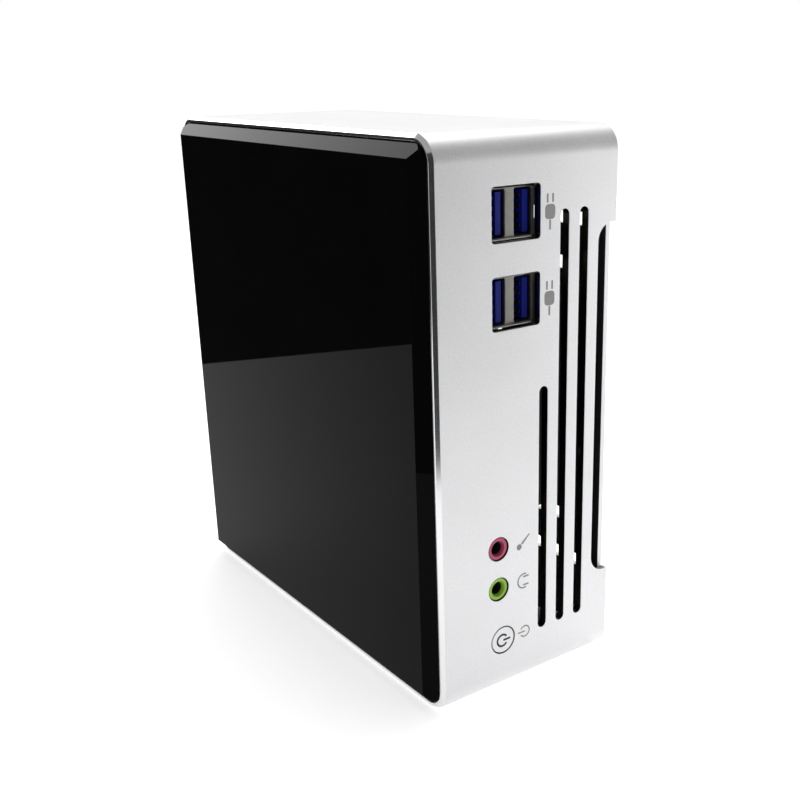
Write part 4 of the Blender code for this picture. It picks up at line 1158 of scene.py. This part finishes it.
def populated(name, face_y):
    """Solder mask up to the board's face at face_y, and moulded epoxy on what stands above it."""

    def vary(graph, place):
        y = graph.parts(place)[1]
        share, roughness, _ = coppered(graph, place)
        chip = y > (face_y + 0.12) * MM
        return share * (1 - chip), roughness + chip * 0.1, (share * (1 - chip), 0.4, 0.05)

    return finish(name, ((0.006, 0.035, 0.020), (0.05, 0.17, 0.08)), vary)


populated("populated_board", LIP + 16.6)
solids_by_look = {
    "black_plastic": ["panel_tray", "memory_socket", "power_switch", "power_inlet", "fan_frame", "fan_rotor"],
    "black_rubber": ["panel_adhesive", "fan_lead", "antenna_lead_1", "antenna_lead_2"],
    "populated_board": ["mainboard"],
    "solder_mask": ["memory_module", "processor", "drive_card", "wireless_card"],
    "nickel_plate": ["memory_latch_1", "memory_latch_2", "coin_cell", "drive_screw", "fan_screw_1",
                     "fan_screw_2", *[f"{kind}_screw_{k}" for kind in ("board", "heatsink") for k in (1, 2, 3, 4)]],
    "white_plastic": ["switch_plunger"],
    "tinned_steel": ["video_port_1", "video_port_2", "network_jack"],
    "black_anodised_fins": ["heatsink"],
    "machined_brass": [f"standoff_{k}" for k in (1, 2, 3, 4)],
    "gold_contact": ["antenna_1", "antenna_2"],
}
kept = {node: look for look, nodes in solids_by_look.items() for node in nodes}
for node, look in kept.items():
    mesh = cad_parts[node].data
    mesh.materials.clear()
    mesh.materials.append(finishes[look])
print("solids kept:", len(kept))

# %% [markdown]
# ## Floor and light
# The object stands on plain white, lit softly from above and from its port side. Black glass shows only
# what it mirrors, so its look is set by what stands in front of it: a dark card, with the white floor below
# it, and a bright card higher up for the bevel. Two more dark cards and a patch laid on the floor shade the
# port side. Only reflections see the cards.

# %% Floor, lights and cards


def plane(name, corners, look):
    mesh = bpy.data.meshes.new(name)
    mesh.from_pydata([tuple(v * MM for v in corner) for corner in corners], [], [tuple(range(len(corners)))])
    mesh.materials.append(look)
    obj = bpy.data.objects.new(name, mesh)
    scene.collection.objects.link(obj)
    obj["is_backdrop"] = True
    return obj


def pale(graph, place):
    clouds = noise(graph, place, 300.0, 2.0)
    return clouds, 0.6 + clouds * 0.1, None


PAPER = ((0.90, 0.90, 0.90), (0.92, 0.92, 0.92))
WHITE_CARD = ((0.9, 0.9, 0.9), (0.9, 0.9, 0.9))
finish("paper_floor", PAPER, pale, emission_color=colour(1.0), emission_strength=0.6)
finish("dark_card", ((0.0, 0.0, 0.0), (0.001, 0.001, 0.001)), pale)
finish("grey_card", ((0.04, 0.04, 0.04), (0.05, 0.05, 0.05)), pale)
finish("glow_card", WHITE_CARD, pale, emission_color=colour(1.0), emission_strength=4.6)
finish("low_glow", WHITE_CARD, pale, emission_color=colour(1.0), emission_strength=0.55)
FAR = 6000.0
plane("floor", ((-FAR, -FAR, 0), (FAR, -FAR, 0), (FAR, FAR, 0), (-FAR, FAR, 0)), finishes["paper_floor"])


def seen_by_reflections(card):
    card.visible_camera = False
    card.visible_shadow = False
    card.visible_diffuse = False


def standing_card(name, first, second, reach, height, look):
    """A card standing on the line through two points, lengthened both ways. Only reflections see it."""
    first, second = Vector((*first, 0.0)), Vector((*second, 0.0))
    run = second - first
    foot, top = Vector((0, 0, height[0])), Vector((0, 0, height[1]))
    low, high = first - run * reach, second + run * reach
    seen_by_reflections(plane(name, (low + foot, high + foot, high + top, low + top), finishes[look]))


standing_card("dark_card", (-318.4, -138.8), (-277.1, -262.4), 3.0, (0, 190), "dark_card")
standing_card("glow_card", (-900.0, 160.0), (-820.0, -420.0), 0.0, (400, 860), "glow_card")
standing_card("grey_card", (442.0, -156.0), (262.0, 190.0), 0.0, (0, 700), "grey_card")
standing_card("edge_card", (120.0, -220.0), (240.0, -130.0), 0.2, (0, 260), "dark_card")
low_glow = ((110.0, 20.0, 1.0), (300.0, 60.0, 1.0), (330.0, 300.0, 1.0), (110.0, 220.0, 1.0))
seen_by_reflections(plane("low_glow", low_glow, finishes["low_glow"]))


WORLD_DIM = 0.42
BRIGHT_WAY = (-0.79, 0.61, -0.9)  # behind the object and low, as it is seen from its port side


def studio_world():
    """White at the horizon behind the object, and dimmer overhead and all round."""
    world = bpy.data.worlds.new("studio")
    scene.world = world
    world.use_nodes = True
    graph = Graph(world.node_tree)
    way = graph.node("ShaderNodeTexCoord", out="Generated")
    behind = graph.node("ShaderNodeVectorMath", {"operation": "DOT_PRODUCT"}, {0: way, 1: BRIGHT_WAY}, "Value")
    stops = ((0.0, colour(WORLD_DIM)), (0.55, colour(1.0)))
    glow = graph.node("ShaderNodeValToRGB", {"stops": stops}, {0: behind})
    world.node_tree.links.new(glow.socket, world.node_tree.nodes["Background"].inputs["Color"])


studio_world()
scene.view_settings.view_transform = "Standard"


def soft_light(name, way, distance, size, radiance):
    """A square soft box that faces the middle of the object from a direction, as bright as it is told to be."""
    data = bpy.data.lights.new(name, "AREA")
    data.size = size * MM
    data.energy = radiance * math.pi * data.size ** 2
    light = bpy.data.objects.new(name, data)
    place = Vector(way).normalized() * distance + Vector((0, 0, MID_Z))
    light.location = place * MM
    light.rotation_euler = Vector(way).to_track_quat("Z", "Y").to_euler()
    scene.collection.objects.link(light)


soft_light("top_box", (-0.2, 0.3, 0.93), 1200.0, 900.0, 3.0)
soft_light("port_box", (0.70, 0.66, -0.04), 520.0, 180.0, 2.6)
print("stage set")

# %% Write the sizes and finish
looks_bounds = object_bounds()
for corner, (solid, look) in enumerate(zip(cad_bounds, looks_bounds)):
    print("corner", corner, [round(v * 1000, 3) for v in solid], [round(v * 1000, 3) for v in look])
